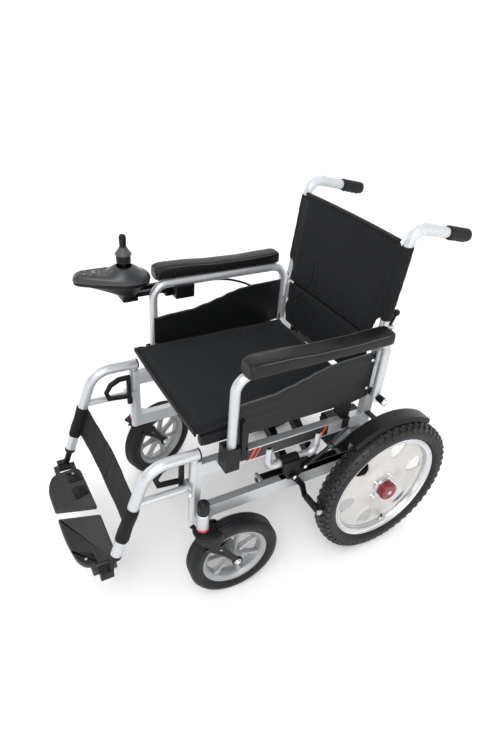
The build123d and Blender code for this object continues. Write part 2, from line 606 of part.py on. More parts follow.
def joystick_link(x, low_bore):
    """One bar of the parallel mount, with a pivot pin at each end."""
    bar = block((x - 5, x + 5), (LINK_Y[1], LINK_Y[0]), (LINK_Z - 6, LINK_Z + 6))
    for y in LINK_Y:
        bar += rod((x, y, LINK_Z - 6), (x, y, LINK_Z + 6), 6.5)
    bar += rod((x, LINK_Y[0], LINK_Z - 13.8), (x, LINK_Y[0], LINK_Z + 10.8), 3)
    return bar + rod((x, LINK_Y[1], LINK_Z - 13.8), (x, LINK_Y[1], LINK_Z + 10.8), 3 - low_bore)


def controller_outline(grow=0.0, z=0.0):
    """The pear shape of the controller seen from above: a round rear and a blunt nose."""
    g = grow
    nose, rear = CONTROL_Y0 - g, CONTROL_Y1 + g
    left, right = CONTROL_X - 47 - g, CONTROL_X + 47 + g
    line = Spline(
        (CONTROL_X, nose), (CONTROL_X + 22, nose + 14), (right - 4, -545), (right, -500),
        (right - 14, -462), (CONTROL_X, rear), (left + 14, -462), (left, -500),
        (left + 4, -545), (CONTROL_X - 22, nose + 14), periodic=True,
    )
    return Pos(0, 0, z) * make_face(line)


def controller_housing():
    """Upper and lower shells of the controller, with the foot that the bars hold."""
    z = CONTROL_Z
    upper = loft([controller_outline(0, z), controller_outline(-9, z + 20)])
    base = (Align.CENTER, Align.CENTER, Align.MIN)
    upper += Pos(CONTROL_X, STICK_Y + 6, z + 12) * Cone(40, 24, 22, align=base)
    upper -= loft([controller_outline(-4, z - 1), controller_outline(-11, z + 16)])
    upper -= rod((CONTROL_X, STICK_Y, z), (CONTROL_X, STICK_Y, z + 40), 17)
    lower = Pos(CONTROL_X, STICK_Y + 4, z - 40) * Cone(26, 44, 39.8, align=base)
    lower += extrude(controller_outline(-1, z - 9.2), 9)
    lower -= Pos(CONTROL_X, STICK_Y + 4, z - 17) * Cone(24, 40, 18, align=base)
    foot_x, foot_y = (-290, -234), (LINK_Y[1] - 8, LINK_Y[1] + 8)
    foot = block(foot_x, foot_y, (LINK_Z - 14, LINK_Z - 6.2))
    foot += block(foot_x, (foot_y[0] - 24, foot_y[0]), (LINK_Z - 14, z - 24))
    foot += block(foot_x, foot_y, (LINK_Z + 6.2, z - 24))
    lower += foot
    for x in LINK_X:
        lower -= rod((x, LINK_Y[1], LINK_Z - 15), (x, LINK_Y[1], LINK_Z + 12), 3 + FIT)
    keys = upper
    for x, y in KEY_PLACES:
        keys -= rod((x, y, z), (x, y, z + 40), KEY_R + 0.4)
    slot_x, slot_y = (CONTROL_X - 9.5, CONTROL_X + 9.5), (ROCKER_Y - 6.4, ROCKER_Y + 6.4)
    keys -= block(slot_x, slot_y, (z, z + 40))
    return keys, lower


def key(place):
    """A round push key with a flange inside the shell."""
    x, y = place
    cap = rod((x, y, KEY_Z - 6), (x, y, KEY_Z + 4), KEY_R)
    return cap + rod((x, y, KEY_Z - 7.5), (x, y, KEY_Z - 6), KEY_R + 1.5)


def speed_rocker():
    x, y = (CONTROL_X - 9, CONTROL_X + 9), (ROCKER_Y - 5, ROCKER_Y + 5)
    top = block(x, y, (KEY_Z - 5, KEY_Z + 4))
    return fillet(top.edges().filter_by(Axis.Y), 2)


def joystick_gimbal():
    """The inner ring that lets the stick tip both ways."""
    z = CONTROL_Z + 2
    ring = rod((CONTROL_X, STICK_Y, z - 3), (CONTROL_X, STICK_Y, z + 3), 12)
    return ring - rod((CONTROL_X, STICK_Y, z - 4), (CONTROL_X, STICK_Y, z + 4), 8)


def joystick():
    """Stick, bellows, skirt and knob in one."""
    x, y, z = CONTROL_X, STICK_Y, STICK_Z
    stick = rod((x, y, CONTROL_Z - 2), (x, y, z + 60), 4)
    stick += rod((x, y, z), (x, y, z + 17), 12)
    for i in range(3):
        stick += rod((x, y, z + 5.5 * i), (x, y, z + 5.5 * i + 3), 15)
    base = (Align.CENTER, Align.CENTER, Align.MIN)
    skirt = Pos(x, y, z + 16.5) * Cone(17.5, 8, 20, align=base)
    knob = rod((x, y, z + 34), (x, y, z + 71), 7.5)
    knob = fillet(knob.edges().filter_by(GeomType.CIRCLE), 5)
    return stick + skirt + knob


def lead_radii():
    """Bend radii of the lead: each arc as large as its two runs allow."""
    radii = []
    for a, b, c in zip(LEAD_ROUTE, LEAD_ROUTE[1:], LEAD_ROUTE[2:]):
        u, v = Vector(*b) - Vector(*a), Vector(*c) - Vector(*b)
        half_turn = math.radians(u.get_angle(v)) / 2
        radii.append(0.45 * min(u.length, v.length) / math.tan(half_turn))
    return radii


def joystick_lead():
    """The round lead from the clamp to its connector on the rear leg of the armrest."""
    lead = pipe(LEAD_ROUTE, lead_radii(), 3)
    end, before = Vector(*LEAD_ROUTE[-1]), Vector(*LEAD_ROUTE[-2])
    run = (end - before).normalized()
    return lead + rod(end - run * 2, end + run * 16, 5)


def main():
    os.makedirs("parts", exist_ok=True)
    place = Pos(0, AXLE_Y, 0)
    size = []

    def save(name, shape):
        solids = shape if isinstance(shape, list) else shape.solids()
        placed = Compound(children=[place * s for one in solids for s in one.solids()])
        export_step(placed, f"parts/{name}.step")
        size.append(placed.bounding_box())

    def both(name, shape):
        solids = shape if isinstance(shape, list) else list(shape.solids())
        save(name + "_left", solids)
        save(name + "_right", [other_side(s) for s in solids])

    both("side_frame", side_frame())
    both("frame_fittings", frame_fittings())
    both("gear_motor", gear_motor())
    save("battery_pack", block((112, 181), (-116, -6), (296, 374), 5))
    both("brake_lever", brake_lever())
    both("brake_arm", brake_arm())
    both("rear_tyre", rear_tyre())
    both("rear_rim", rear_rim())
    both("clutch_knob", clutch_knob())
    for name, shape in (("caster_fork", caster_fork()), ("caster_wheel", caster_wheel())):
        save(name + "_left", caster_turned(1) * shape)
        save(name + "_right", caster_turned(-1) * other_side(shape))
    bar_a, bar_b = cross_bars()
    save("cross_bar_a", bar_a)
    save("cross_bar_b", bar_b)
    save("seat_pad", seat_pad())
    both("back_tube", back_tube())
    both("push_grip", push_grip())
    both("back_lever", back_lever())
    save("back_upholstery", back_upholstery())
    save("lower_back_panel", lower_back_panel())
    both("armrest_frame", armrest_frame())
    both("armrest_pad", armrest_pad())
    both("side_panel", side_panel())
    both("armrest_latch", armrest_latch())
    both("hanger", hanger())
    both("release_handle", release_handle())
    both("calf_strap", calf_strap())
    both("footplate_stem", footplate_stem())
    save("footplate_left", footplate(-4, 24))
    save("footplate_right", other_side(footplate(32, 4)))
    save("joystick_clamp", joystick_clamp())
    save("joystick_link_a", joystick_link(LINK_X[0], 0.0))
    save("joystick_link_b", joystick_link(LINK_X[1], 0.5))
    save("controller_housing", list(controller_housing()))
    save("joystick_gimbal", joystick_gimbal())
    save("joystick", joystick())
    save("joystick_lead", joystick_lead())
    save("power_button", key(KEY_PLACES[0]))
    save("horn_button", key(KEY_PLACES[1]))
    save("speed_rocker", speed_rocker())

    low = [min(getattr(b.min, a) for b in size) for a in "XYZ"]
    high = [max(getattr(b.max, a) for b in size) for a in "XYZ"]
    print("whole", [round(v, 2) for v in low], [round(v, 2) for v in high])
    print("lead radii", [round(r, 1) for r in lead_radii()])


if __name__ == "__main__":
    main()
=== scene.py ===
import math
import random

import bmesh
import bpy
import numpy as np
from mathutils import Matrix, Vector, noise


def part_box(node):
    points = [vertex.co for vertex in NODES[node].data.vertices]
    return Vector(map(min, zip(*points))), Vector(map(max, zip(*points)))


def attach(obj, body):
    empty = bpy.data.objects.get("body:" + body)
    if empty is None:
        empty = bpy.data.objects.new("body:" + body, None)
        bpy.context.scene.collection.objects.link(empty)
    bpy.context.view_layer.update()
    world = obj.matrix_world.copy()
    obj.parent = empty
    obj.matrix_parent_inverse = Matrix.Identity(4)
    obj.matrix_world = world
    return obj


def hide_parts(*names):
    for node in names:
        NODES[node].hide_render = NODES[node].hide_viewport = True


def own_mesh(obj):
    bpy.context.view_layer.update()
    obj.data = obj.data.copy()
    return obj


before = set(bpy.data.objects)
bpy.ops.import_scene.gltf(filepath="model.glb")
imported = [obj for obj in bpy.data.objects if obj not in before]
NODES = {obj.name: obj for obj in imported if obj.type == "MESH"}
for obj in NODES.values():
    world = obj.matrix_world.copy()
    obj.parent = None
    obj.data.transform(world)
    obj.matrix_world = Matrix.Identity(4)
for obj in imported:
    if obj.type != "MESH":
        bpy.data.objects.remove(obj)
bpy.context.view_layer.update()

AXLE_Y = 291.25
SIDES = {"left": 1, "right": -1}


def mm(x, y, z):
    """A point given in millimetres from the rear axle, in metres in the row frame."""
    return Vector((x, y + AXLE_Y, z)) / 1000


def around(count):
    """Angles spaced evenly round a circle."""
    return [2 * math.pi * k / count for k in range(count)]


# ---------------------------------------------------------------- mesh helpers
def new_object(name, verts, faces, smooth=True):
    mesh = bpy.data.meshes.new(name)
    mesh.from_pydata([tuple(v) for v in verts], [], faces)
    bm = bmesh.new()
    bm.from_mesh(mesh)
    bmesh.ops.remove_doubles(bm, verts=bm.verts, dist=1e-6)
    bmesh.ops.recalc_face_normals(bm, faces=bm.faces)
    for f in bm.faces:
        f.smooth = smooth
    bm.to_mesh(mesh)
    bm.free()
    obj = bpy.data.objects.new(name, mesh)
    bpy.context.scene.collection.objects.link(obj)
    return obj


def join_data(parts):
    """One (verts, faces) pair from several."""
    verts, faces = [], []
    for v, f in parts:
        n = len(verts)
        verts += list(v)
        faces += [[i + n for i in q] for q in f]
    return verts, faces


def rings(loops, close_ends=True, ring_closed=True, joined=False):
    """Skins a list of equal loops of points; joined closes the last loop on the first."""
    n = len(loops[0])
    verts = [p for loop in loops for p in loop]
    faces = []
    last = len(loops) if joined else len(loops) - 1
    for i in range(last):
        a, b = i * n, (i + 1) % len(loops) * n
        for j in range(n if ring_closed else n - 1):
            k = (j + 1) % n
            faces.append([a + j, a + k, b + k, b + j])
    if close_ends and not joined:
        faces.append(list(range(n))[::-1])
        faces.append([(len(loops) - 1) * n + j for j in range(n)])
    return verts, faces


def revolved(seg, n, closed, point):
    """Skins seg turns of an n-point profile; point(angle, index) gives each place."""
    verts = [point(2 * math.pi * i / seg, j) for i in range(seg) for j in range(n)]
    faces = []
    for i in range(seg):
        a, b = i * n, (i + 1) % seg * n
        for j in range(n if closed else n - 1):
            k = (j + 1) % n
            faces.append([a + j, a + k, b + k, b + j])
    return verts, faces


def lathe(profile, centre, axis, seg=72, closed=False):
    """Revolves (along, radius) points in millimetres about an axis through centre."""
    axis = Vector(axis).normalized()
    side = axis.orthogonal().normalized()
    up = axis.cross(side)

    def point(a, j):
        along, r = profile[j]
        return centre + (axis * along + (side * math.cos(a) + up * math.sin(a)) * r) / 1000
    return revolved(seg, len(profile), closed, point)


def frames(points):
    """Tangent, side and up vectors carried along a path without twisting."""
    out = []
    side = None
    for i, p in enumerate(points):
        a, b = points[max(i - 1, 0)], points[min(i + 1, len(points) - 1)]
        t = (b - a).normalized()
        side = t.orthogonal() if side is None else side
        side = (side - t * side.dot(t)).normalized()
        out.append((t, side, t.cross(side)))
    return out


def tube(points, radius, seg=20):
    """A capped tube through points in metres; radius in millimetres, or a function of the share of the way."""
    loops = []
    n = len(points) - 1
    for i, (p, (t, s, u)) in enumerate(zip(points, frames(points))):
        r = radius(i / n) if callable(radius) else radius
        loops.append([p + (s * math.cos(a) + u * math.sin(a)) * r / 1000 for a in
                      around(seg)])
    return rings(loops)


def bend_path(corners, radius, steps=10):
    """Straight runs through corners in metres, rounded with tangent arcs of radius in millimetres."""
    out = [corners[0]]
    for a, b, c in zip(corners, corners[1:], corners[2:]):
        u, v = (a - b).normalized(), (c - b).normalized()
        half = u.angle(v) / 2
        reach = radius / 1000 / math.tan(half)
        centre = b + (u + v).normalized() * radius / 1000 / math.sin(half)
        p, q = b + u * reach, b + v * reach
        axis = (p - centre).cross(q - centre).normalized()
        turn = (p - centre).angle(q - centre)
        for i in range(steps + 1):
            out.append(centre + Matrix.Rotation(turn * i / steps, 3, axis) @ (p - centre))
    out.append(corners[-1])
    return out


def prism(outline, direction, a, b):
    """A plate: outline points in metres in a plane, moved a and b millimetres along direction."""
    d = Vector(direction)
    low, high = [p + d * a / 1000 for p in outline], [p + d * b / 1000 for p in outline]
    return rings([low, high])


def box_data(low, high):
    """A box between two corners in metres."""
    (x0, y0, z0), (x1, y1, z1) = low, high
    base = [Vector(p) for p in ((x0, y0, z0), (x1, y0, z0), (x1, y1, z0), (x0, y1, z0))]
    return rings([base, [p + Vector((0, 0, z1 - z0)) for p in base]])


def curve_points(points, steps=8, closed=False):
    """A Catmull-Rom curve through points."""
    n = len(points)
    out = []
    for i in range(n if closed else n - 1):
        def at(k):
            return points[k % n] if closed else points[min(max(k, 0), n - 1)]
        p0, p1, p2, p3 = at(i - 1), at(i), at(i + 1), at(i + 2)
        for j in range(steps):
            t = j / steps
            out.append(0.5 * (2 * p1 + (p2 - p0) * t + (2 * p0 - 5 * p1 + 4 * p2 - p3) * t * t
                              + (3 * p1 - p0 - 3 * p2 + p3) * t ** 3))
    if not closed:
        out.append(points[-1])
    return out


def modify(obj, kind, **values):
    mod = obj.modifiers.new(kind, kind)
    for key, value in values.items():
        setattr(mod, key, value)
    return mod


def apply_modifiers(obj):
    bpy.context.view_layer.update()
    done = bpy.data.meshes.new_from_object(obj.evaluated_get(bpy.context.evaluated_depsgraph_get()))
    obj.modifiers.clear()
    old, obj.data = obj.data, done
    bpy.data.meshes.remove(old)


def soften(obj, width, segments=2, angle=35):
    """Rounds the sharp edges by width millimetres and evens the shading."""
    modify(obj, "BEVEL", width=width / 1000, segments=segments, limit_method="ANGLE",
           angle_limit=math.radians(angle), use_clamp_overlap=True)
    modify(obj, "WEIGHTED_NORMAL", keep_sharp=True)
    apply_modifiers(obj)
    return obj


def smooth_by_angle(obj, angle=35):
    obj.data.set_sharp_from_angle(angle=math.radians(angle))
    return obj


# ---------------------------------------------------------------- materials
def nodes_of(name):
    mat = bpy.data.materials.new(name)
    mat.use_nodes = True
    tree = mat.node_tree
    return mat, tree, tree.nodes["Principled BSDF"]


def add_node(tree, kind, **values):
    node = tree.nodes.new(kind)
    for key, value in values.items():
        if key in node.inputs:
            node.inputs[key].default_value = value
        else:
            setattr(node, key, value)
    return node


def scaled_position(tree, scale=(1, 1, 1)):
    coord = tree.nodes.new("ShaderNodeTexCoord")
    mapping = add_node(tree, "ShaderNodeMapping")
    mapping.inputs["Scale"].default_value = scale
    tree.links.new(coord.outputs["Object"], mapping.inputs["Vector"])
    return mapping.outputs["Vector"]


def shift(colour, k):
    return tuple(min(1, c * k) for c in colour[:3]) + (1,)


def material(name, colour, rough, metal=0.0, grain=(900, 0.05), blotch=(9, 0.12), rough_swing=0.06,
             coat=0.0, stretch=(1, 1, 1), spec=0.5, sheen=0.0, bump_distance=0.0004):
    """Paint, plastic or metal with slow colour drift, uneven gloss and a fine grain."""
    mat, tree, shader = nodes_of(name)
    link = tree.links.new
    shader.inputs["Metallic"].default_value = metal
    shader.inputs["Specular IOR Level"].default_value = spec
    shader.inputs["Coat Weight"].default_value = coat
    shader.inputs["Coat Roughness"].default_value = 0.12
    if sheen:
        shader.inputs["Sheen Weight"].default_value = sheen
    position = scaled_position(tree, stretch)
    drift = add_node(tree, "ShaderNodeTexNoise", Scale=blotch[0], Detail=4.0)
    link(position, drift.inputs["Vector"])
    ramp = tree.nodes.new("ShaderNodeMix")
    ramp.data_type = "RGBA"
    ramp.inputs["A"].default_value = shift(colour, 1 - blotch[1])
    ramp.inputs["B"].default_value = shift(colour, 1 + blotch[1])
    link(drift.outputs["Fac"], ramp.inputs["Factor"])
    link(ramp.outputs["Result"], shader.inputs["Base Color"])
    fine = add_node(tree, "ShaderNodeTexNoise", Scale=grain[0], Detail=3.0)
    link(position, fine.inputs["Vector"])
    gloss = add_node(tree, "ShaderNodeMapRange")
    gloss.inputs["To Min"].default_value = max(0.02, rough - rough_swing)
    gloss.inputs["To Max"].default_value = min(1.0, rough + rough_swing)
    wear = add_node(tree, "ShaderNodeTexNoise", Scale=blotch[0] * 6, Detail=5.0)
    link(position, wear.inputs["Vector"])
    link(wear.outputs["Fac"], gloss.inputs["Value"])
    link(gloss.outputs["Result"], shader.inputs["Roughness"])
    bump = add_node(tree, "ShaderNodeBump", Strength=grain[1] * 4, Distance=bump_distance)
    link(fine.outputs["Fac"], bump.inputs["Height"])
    link(bump.outputs["Normal"], shader.inputs["Normal"])
    return mat


def woven(name, colour, light, pitch, axes, rough=0.8, sheen=0.35, strength=0.6):
    """Woven cloth: two sets of threads across each other, along two axes of the row frame."""
    mat, tree, shader = nodes_of(name)
    link = tree.links.new
    shader.inputs["Roughness"].default_value = rough
    shader.inputs["Sheen Weight"].default_value = sheen
    shader.inputs["Sheen Roughness"].default_value = 0.4
    shader.inputs["Specular IOR Level"].default_value = 0.2
    position = scaled_position(tree)
    waves = []
    for axis in axes:
        wave = tree.nodes.new("ShaderNodeTexWave")
        wave.bands_direction = axis
        wave.inputs["Scale"].default_value = 0.314 / (pitch / 1000)
        wave.inputs["Distortion"].default_value = 0.6
        wave.inputs["Detail"].default_value = 1.0
        wave.inputs["Detail Scale"].default_value = 1.5
        link(position, wave.inputs["Vector"])
        waves.append(wave.outputs["Fac"])
    both = tree.nodes.new("ShaderNodeMath")
    both.operation = "MULTIPLY"
    link(waves[0], both.inputs[0])
    link(waves[1], both.inputs[1])
    drift = add_node(tree, "ShaderNodeTexNoise", Scale=14.0, Detail=6.0)
    link(position, drift.inputs["Vector"])
    total = tree.nodes.new("ShaderNodeMath")
    total.operation = "MULTIPLY_ADD"
    link(drift.outputs["Fac"], total.inputs[0])
    total.inputs[1].default_value = 0.5
    link(both.outputs[0], total.inputs[2])
    mix = tree.nodes.new("ShaderNodeMix")
    mix.data_type = "RGBA"
    mix.inputs["A"].default_value = (*colour, 1)
    mix.inputs["B"].default_value = (*light, 1)
    link(total.outputs[0], mix.inputs["Factor"])
    link(mix.outputs["Result"], shader.inputs["Base Color"])
    bump = add_node(tree, "ShaderNodeBump", Strength=strength, Distance=0.0006)
    link(both.outputs[0], bump.inputs["Height"])
    link(bump.outputs["Normal"], shader.inputs["Normal"])
    return mat


SILVER = material("silver_paint", (0.50, 0.515, 0.535), 0.36, 0.6, (1400, 0.03), (7, 0.04), 0.04, coat=0.15)
BLACK_STEEL = material("black_steel", (0.005, 0.005, 0.0058), 0.3, 0.0, (700, 0.05), (12, 0.3), 0.07, spec=0.22)
BLACK_PLASTIC = material("black_plastic", (0.0055, 0.0058, 0.0064), 0.42, 0.0, (1600, 0.1), (10, 0.25), 0.08, spec=0.22)
GLOSS_PLASTIC = material("controller_shell", (0.022, 0.0235, 0.027), 0.33, 0.0, (2600, 0.02), (12, 0.1), 0.03, spec=0.5)
FRAME_PLATE = material("guard_plastic", (0.0062, 0.0066, 0.0072), 0.38, 0.0, (2200, 0.06), (14, 0.2), 0.06, spec=0.22)
TYRE = material("tyre_rubber", (0.0085, 0.009, 0.0098), 0.42, 0.0, (600, 0.12), (18, 0.35), 0.1, spec=0.4)
SIDEWALL = material("tyre_sidewall", (0.0105, 0.0088, 0.0082), 0.5, 0.0, (700, 0.1), (14, 0.35), 0.1, spec=0.25)
CASTER_RUBBER = material("caster_rubber", (0.0055, 0.006, 0.0068), 0.42, 0.0, (800, 0.08), (20, 0.25), 0.08, spec=0.22)
RIM = material("rim_silver", (0.60, 0.61, 0.62), 0.26, 0.9, (1800, 0.04), (20, 0.05), 0.05)
DISC = material("disc_silver", (0.55, 0.535, 0.515), 0.42, 0.5, (1500, 0.05), (24, 0.05), 0.06)
CASTER_RIM = material("caster_rim_grey", (0.30, 0.305, 0.315), 0.36, 0.4, (1500, 0.06), (24, 0.1), 0.06)
CHROME = material("chrome", (0.72, 0.73, 0.74), 0.14, 1.0, (900, 0.02), (30, 0.04), 0.04)
ZINC = material("zinc_bolt", (0.45, 0.45, 0.44), 0.3, 0.95, (1200, 0.06), (60, 0.1), 0.1)
KNOB_RED = material("knob_red", (0.19, 0.018, 0.024), 0.34, 0.25, (1500, 0.03), (40, 0.1), 0.05, coat=0.2)
RING_RED = material("ring_red", (0.5, 0.02, 0.02), 0.35, 0.0, (1500, 0.05), (40, 0.1), 0.05)
RUBBER = material("grip_rubber", (0.011, 0.011, 0.012), 0.55, 0.0, (1500, 0.12), (25, 0.3), 0.1, spec=0.22)
GREY_RUBBER = material("grip_grey", (0.14, 0.145, 0.15), 0.55, 0.0, (1500, 0.12), (25, 0.15), 0.1)
LEATHER = material("pad_pu", (0.0062, 0.0058, 0.0054), 0.36, 0.0, (420, 0.18), (16, 0.25), 0.08, spec=0.24,
                   bump_distance=0.0006)
MOTOR = material("motor_black", (0.012, 0.012, 0.013), 0.42, 0.2, (500, 0.14), (20, 0.3), 0.1, spec=0.22)
SEAT_CLOTH = woven("seat_weave", (0.004, 0.0046, 0.0054), (0.0135, 0.015, 0.0175), 2.2, "XY", sheen=0.05)
BACK_CLOTH = woven("back_mesh", (0.003, 0.0035, 0.0042), (0.0095, 0.0105, 0.0125), 2.6, "XZ", sheen=0.05)
STRAP_CLOTH = woven("strap_weave", (0.004, 0.0042, 0.005), (0.0115, 0.012, 0.0135), 1.8, "XZ", rough=0.85, sheen=0.05)
EDGE_CLOTH = woven("edge_binding", (0.006, 0.006, 0.0065), (0.014, 0.014, 0.015), 1.2, "XY", rough=0.7, sheen=0.05)
THREAD = material("tan_thread", (0.20, 0.13, 0.07), 0.7, 0.0, (2500, 0.3), (90, 0.25), 0.1)


def dress(name, mat, bevel=0.7, angle=40):
    """A CAD node keeps its shape: rounded edges, even shading and a finish."""
    obj = NODES[name]
    mesh = obj.data
    for attribute in ("custom_normal", "sharp_edge", "sharp_face"):
        if attribute in mesh.attributes:
            mesh.attributes.remove(mesh.attributes[attribute])
    for p in mesh.polygons:
        p.use_smooth = True
    mesh.materials.clear()
    mesh.materials.append(mat)
    modify(obj, "WELD", merge_threshold=0.00001)
    modify(obj, "BEVEL", width=bevel / 1000, segments=2, limit_method="ANGLE", angle_limit=math.radians(angle))
    modify(obj, "WEIGHTED_NORMAL", keep_sharp=True, weight=80)
    return obj


def place(obj, body, mat, slot, *replaced, angle=None):
    """Gives a finished piece its shading angle, material and body, and hides the CAD nodes it stands for; slot is not
    used.
    """
    if angle is not None:
        smooth_by_angle(obj, angle)
    if mat is not None:
        obj.data.materials.clear()
        obj.data.materials.append(mat)
    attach(obj, body)
    if replaced:
        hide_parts(*replaced)
    return obj


def piece(name, data, *values, **more):
    """Makes a piece from its (verts, faces) and places it."""
    return place(new_object(name, *data), *values, **more)


# CAD nodes made on both sides, and those made once, with their finish and their edge radius in millimetres
PAIRED = {
    "side_frame": (SILVER, 1.2), "frame_fittings": (BLACK_PLASTIC, 0.9), "gear_motor": (MOTOR, 1.2),
    "brake_lever": (BLACK_STEEL, 0.6), "brake_arm": (BLACK_STEEL, 0.6), "rear_tyre": (TYRE, 0.6),
    "rear_rim": (DISC, 0.6), "clutch_knob": (KNOB_RED, 1.0), "caster_fork": (BLACK_STEEL, 0.9),
    "caster_wheel": (CASTER_RUBBER, 0.8), "back_tube": (SILVER, 0.6), "push_grip": (RUBBER, 0.8),
    "back_lever": (BLACK_PLASTIC, 0.6), "armrest_frame": (SILVER, 0.6), "armrest_pad": (LEATHER, 0.8),
    "side_panel": (FRAME_PLATE, 0.6), "armrest_latch": (BLACK_PLASTIC, 0.8), "hanger": (SILVER, 0.8),
    "release_handle": (BLACK_PLASTIC, 1.2), "calf_strap": (STRAP_CLOTH, 0.6),
    "footplate_stem": (BLACK_STEEL, 0.8), "footplate": (BLACK_PLASTIC, 1.0),
}
SINGLE = {
    "battery_pack": (BLACK_PLASTIC, 1.5), "cross_bar_a": (BLACK_STEEL, 0.9),
    "cross_bar_b": (BLACK_STEEL, 0.9), "seat_pad": (SEAT_CLOTH, 1.0), "back_upholstery": (BACK_CLOTH, 1.0),
    "lower_back_panel": (BACK_CLOTH, 1.0), "joystick_clamp": (BLACK_STEEL, 0.9),
    "joystick_link_a": (BLACK_STEEL, 0.8), "joystick_link_b": (BLACK_STEEL, 0.8),
    "controller_housing": (GLOSS_PLASTIC, 0.9), "joystick_gimbal": (BLACK_PLASTIC, 0.4),
    "joystick": (RUBBER, 0.7), "joystick_lead": (RUBBER, 0.3), "power_button": (GREY_RUBBER, 0.5),
    "horn_button": (GREY_RUBBER, 0.5), "speed_rocker": (GREY_RUBBER, 0.5),
}
for side in SIDES:
    for name, (finish, radius) in PAIRED.items():
        dress(name + "_" + side, finish, radius)
for name, (finish, radius) in SINGLE.items():
    dress(name, finish, radius)

REAR_R = 206.5
TREADS = 54


def curve_at(table, v):
    """Smoothly joined value of a short table of (place, value) pairs."""
    if v <= table[0][0]:
        return table[0][1]
    for (a, p), (b, q) in zip(table, table[1:]):
        if v <= b:
            t = (v - a) / (b - a)
            t = t * t * (3 - 2 * t)
            return p + (q - p) * t
    return table[-1][1]


# ---------------------------------------------------------------- rear wheels
def tyre_block(angle, u, r, lean, outline, height, turn=0.0):
    """One tapered rubber block on the tyre: base at offset u and radius r, top smaller."""
    radial = Vector((0, math.sin(angle), math.cos(angle)))
    round_way = Vector((0, math.cos(angle), -math.sin(angle)))
    across = Vector((1, 0, 0))
    tilt = math.radians(lean)
    normal = radial * math.cos(tilt) + across * math.sin(tilt)
    wide = across * math.cos(tilt) - radial * math.sin(tilt)
    base = Vector((u, 0, 0)) + radial * r
    c, s = math.cos(math.radians(turn)), math.sin(math.radians(turn))
    loops = []
    for lift, scale in ((-1.0, 1.0), (height * 0.75, 0.92), (height, 0.8)):
        loop = []
        for p, q in outline:
            a, b = (p * c - q * s) * scale, (p * s + q * c) * scale
            loop.append(base + round_way * a + wide * b + normal * lift)
        loops.append(loop)
    return rings(loops)


def rear_tyre(side, s):
    middle = mm(s * 273, 0, REAR_R)
    half = [(-13, 156), (-14.3, 162.6), (-20, 165), (-25.5, 172), (-26.8, 181), (-25.5, 190),
            (-21.5, 196.5), (-13, 200.8)]
    shape = half + [(0, 202.6)] + [(-u, r) for u, r in half[::-1]]
    shape = [(p.x, p.y) for p in curve_points([Vector((u, r, 0)) for u, r in shape], 3)]
    body = lathe(shape, Vector((0, 0, 0)), (1, 0, 0), 144, closed=True)
    centre = [(-5.2, -4.6), (-1.5, -5.4), (5.4, -2.2), (5.2, 3.2), (1.2, 5.2), (-5.0, 2.0)]
    shoulder = [(-4.6, -4.6), (4.8, -5.4), (4.2, 4.8), (-4.0, 5.0)]
    lug = [(-3.6, -6.4), (3.4, -7.0), (2.6, 6.2), (-2.8, 5.6)]
    parts = [([p * 1000 for p in body[0]], body[1])]
    step = 2 * math.pi / TREADS
    for i in range(TREADS):
        a = i * step
        parts.append(tyre_block(a, -5.6, 202.0, -6, centre, 4.0, 22))
        parts.append(tyre_block(a + step / 2, 5.6, 202.0, 6, centre, 4.0, 202))
        parts.append(tyre_block(a + step * 0.36, -16.4, 198.8, -32, shoulder, 4.4, -16))
        parts.append(tyre_block(a + step * 0.86, 16.4, 198.8, 32, shoulder, 4.4, 16))
        parts.append(tyre_block(a + step * 0.1, -23.6, 192.6, -62, lug, 2.6, 12))
        parts.append(tyre_block(a + step * 0.6, 23.6, 192.6, 62, lug, 2.6, -12))
    verts, faces = join_data(parts)
    obj = new_object("tyre_" + side, [middle + Vector((v[0] * s, v[1], v[2])) / 1000 for v in verts], faces)
    obj.data.materials.append(TYRE)
    obj.data.materials.append(SIDEWALL)
    for f in obj.data.polygons:
        local = f.center - middle
        if abs(local.x) > 0.0185 and math.hypot(local.y, local.z) < 0.190 and len(f.vertices) == 4:
            f.material_index = 1
    smooth_by_angle(obj, 38)
    return place(obj, "wheel_" + side, None, "tyre_black", "rear_tyre_" + side)


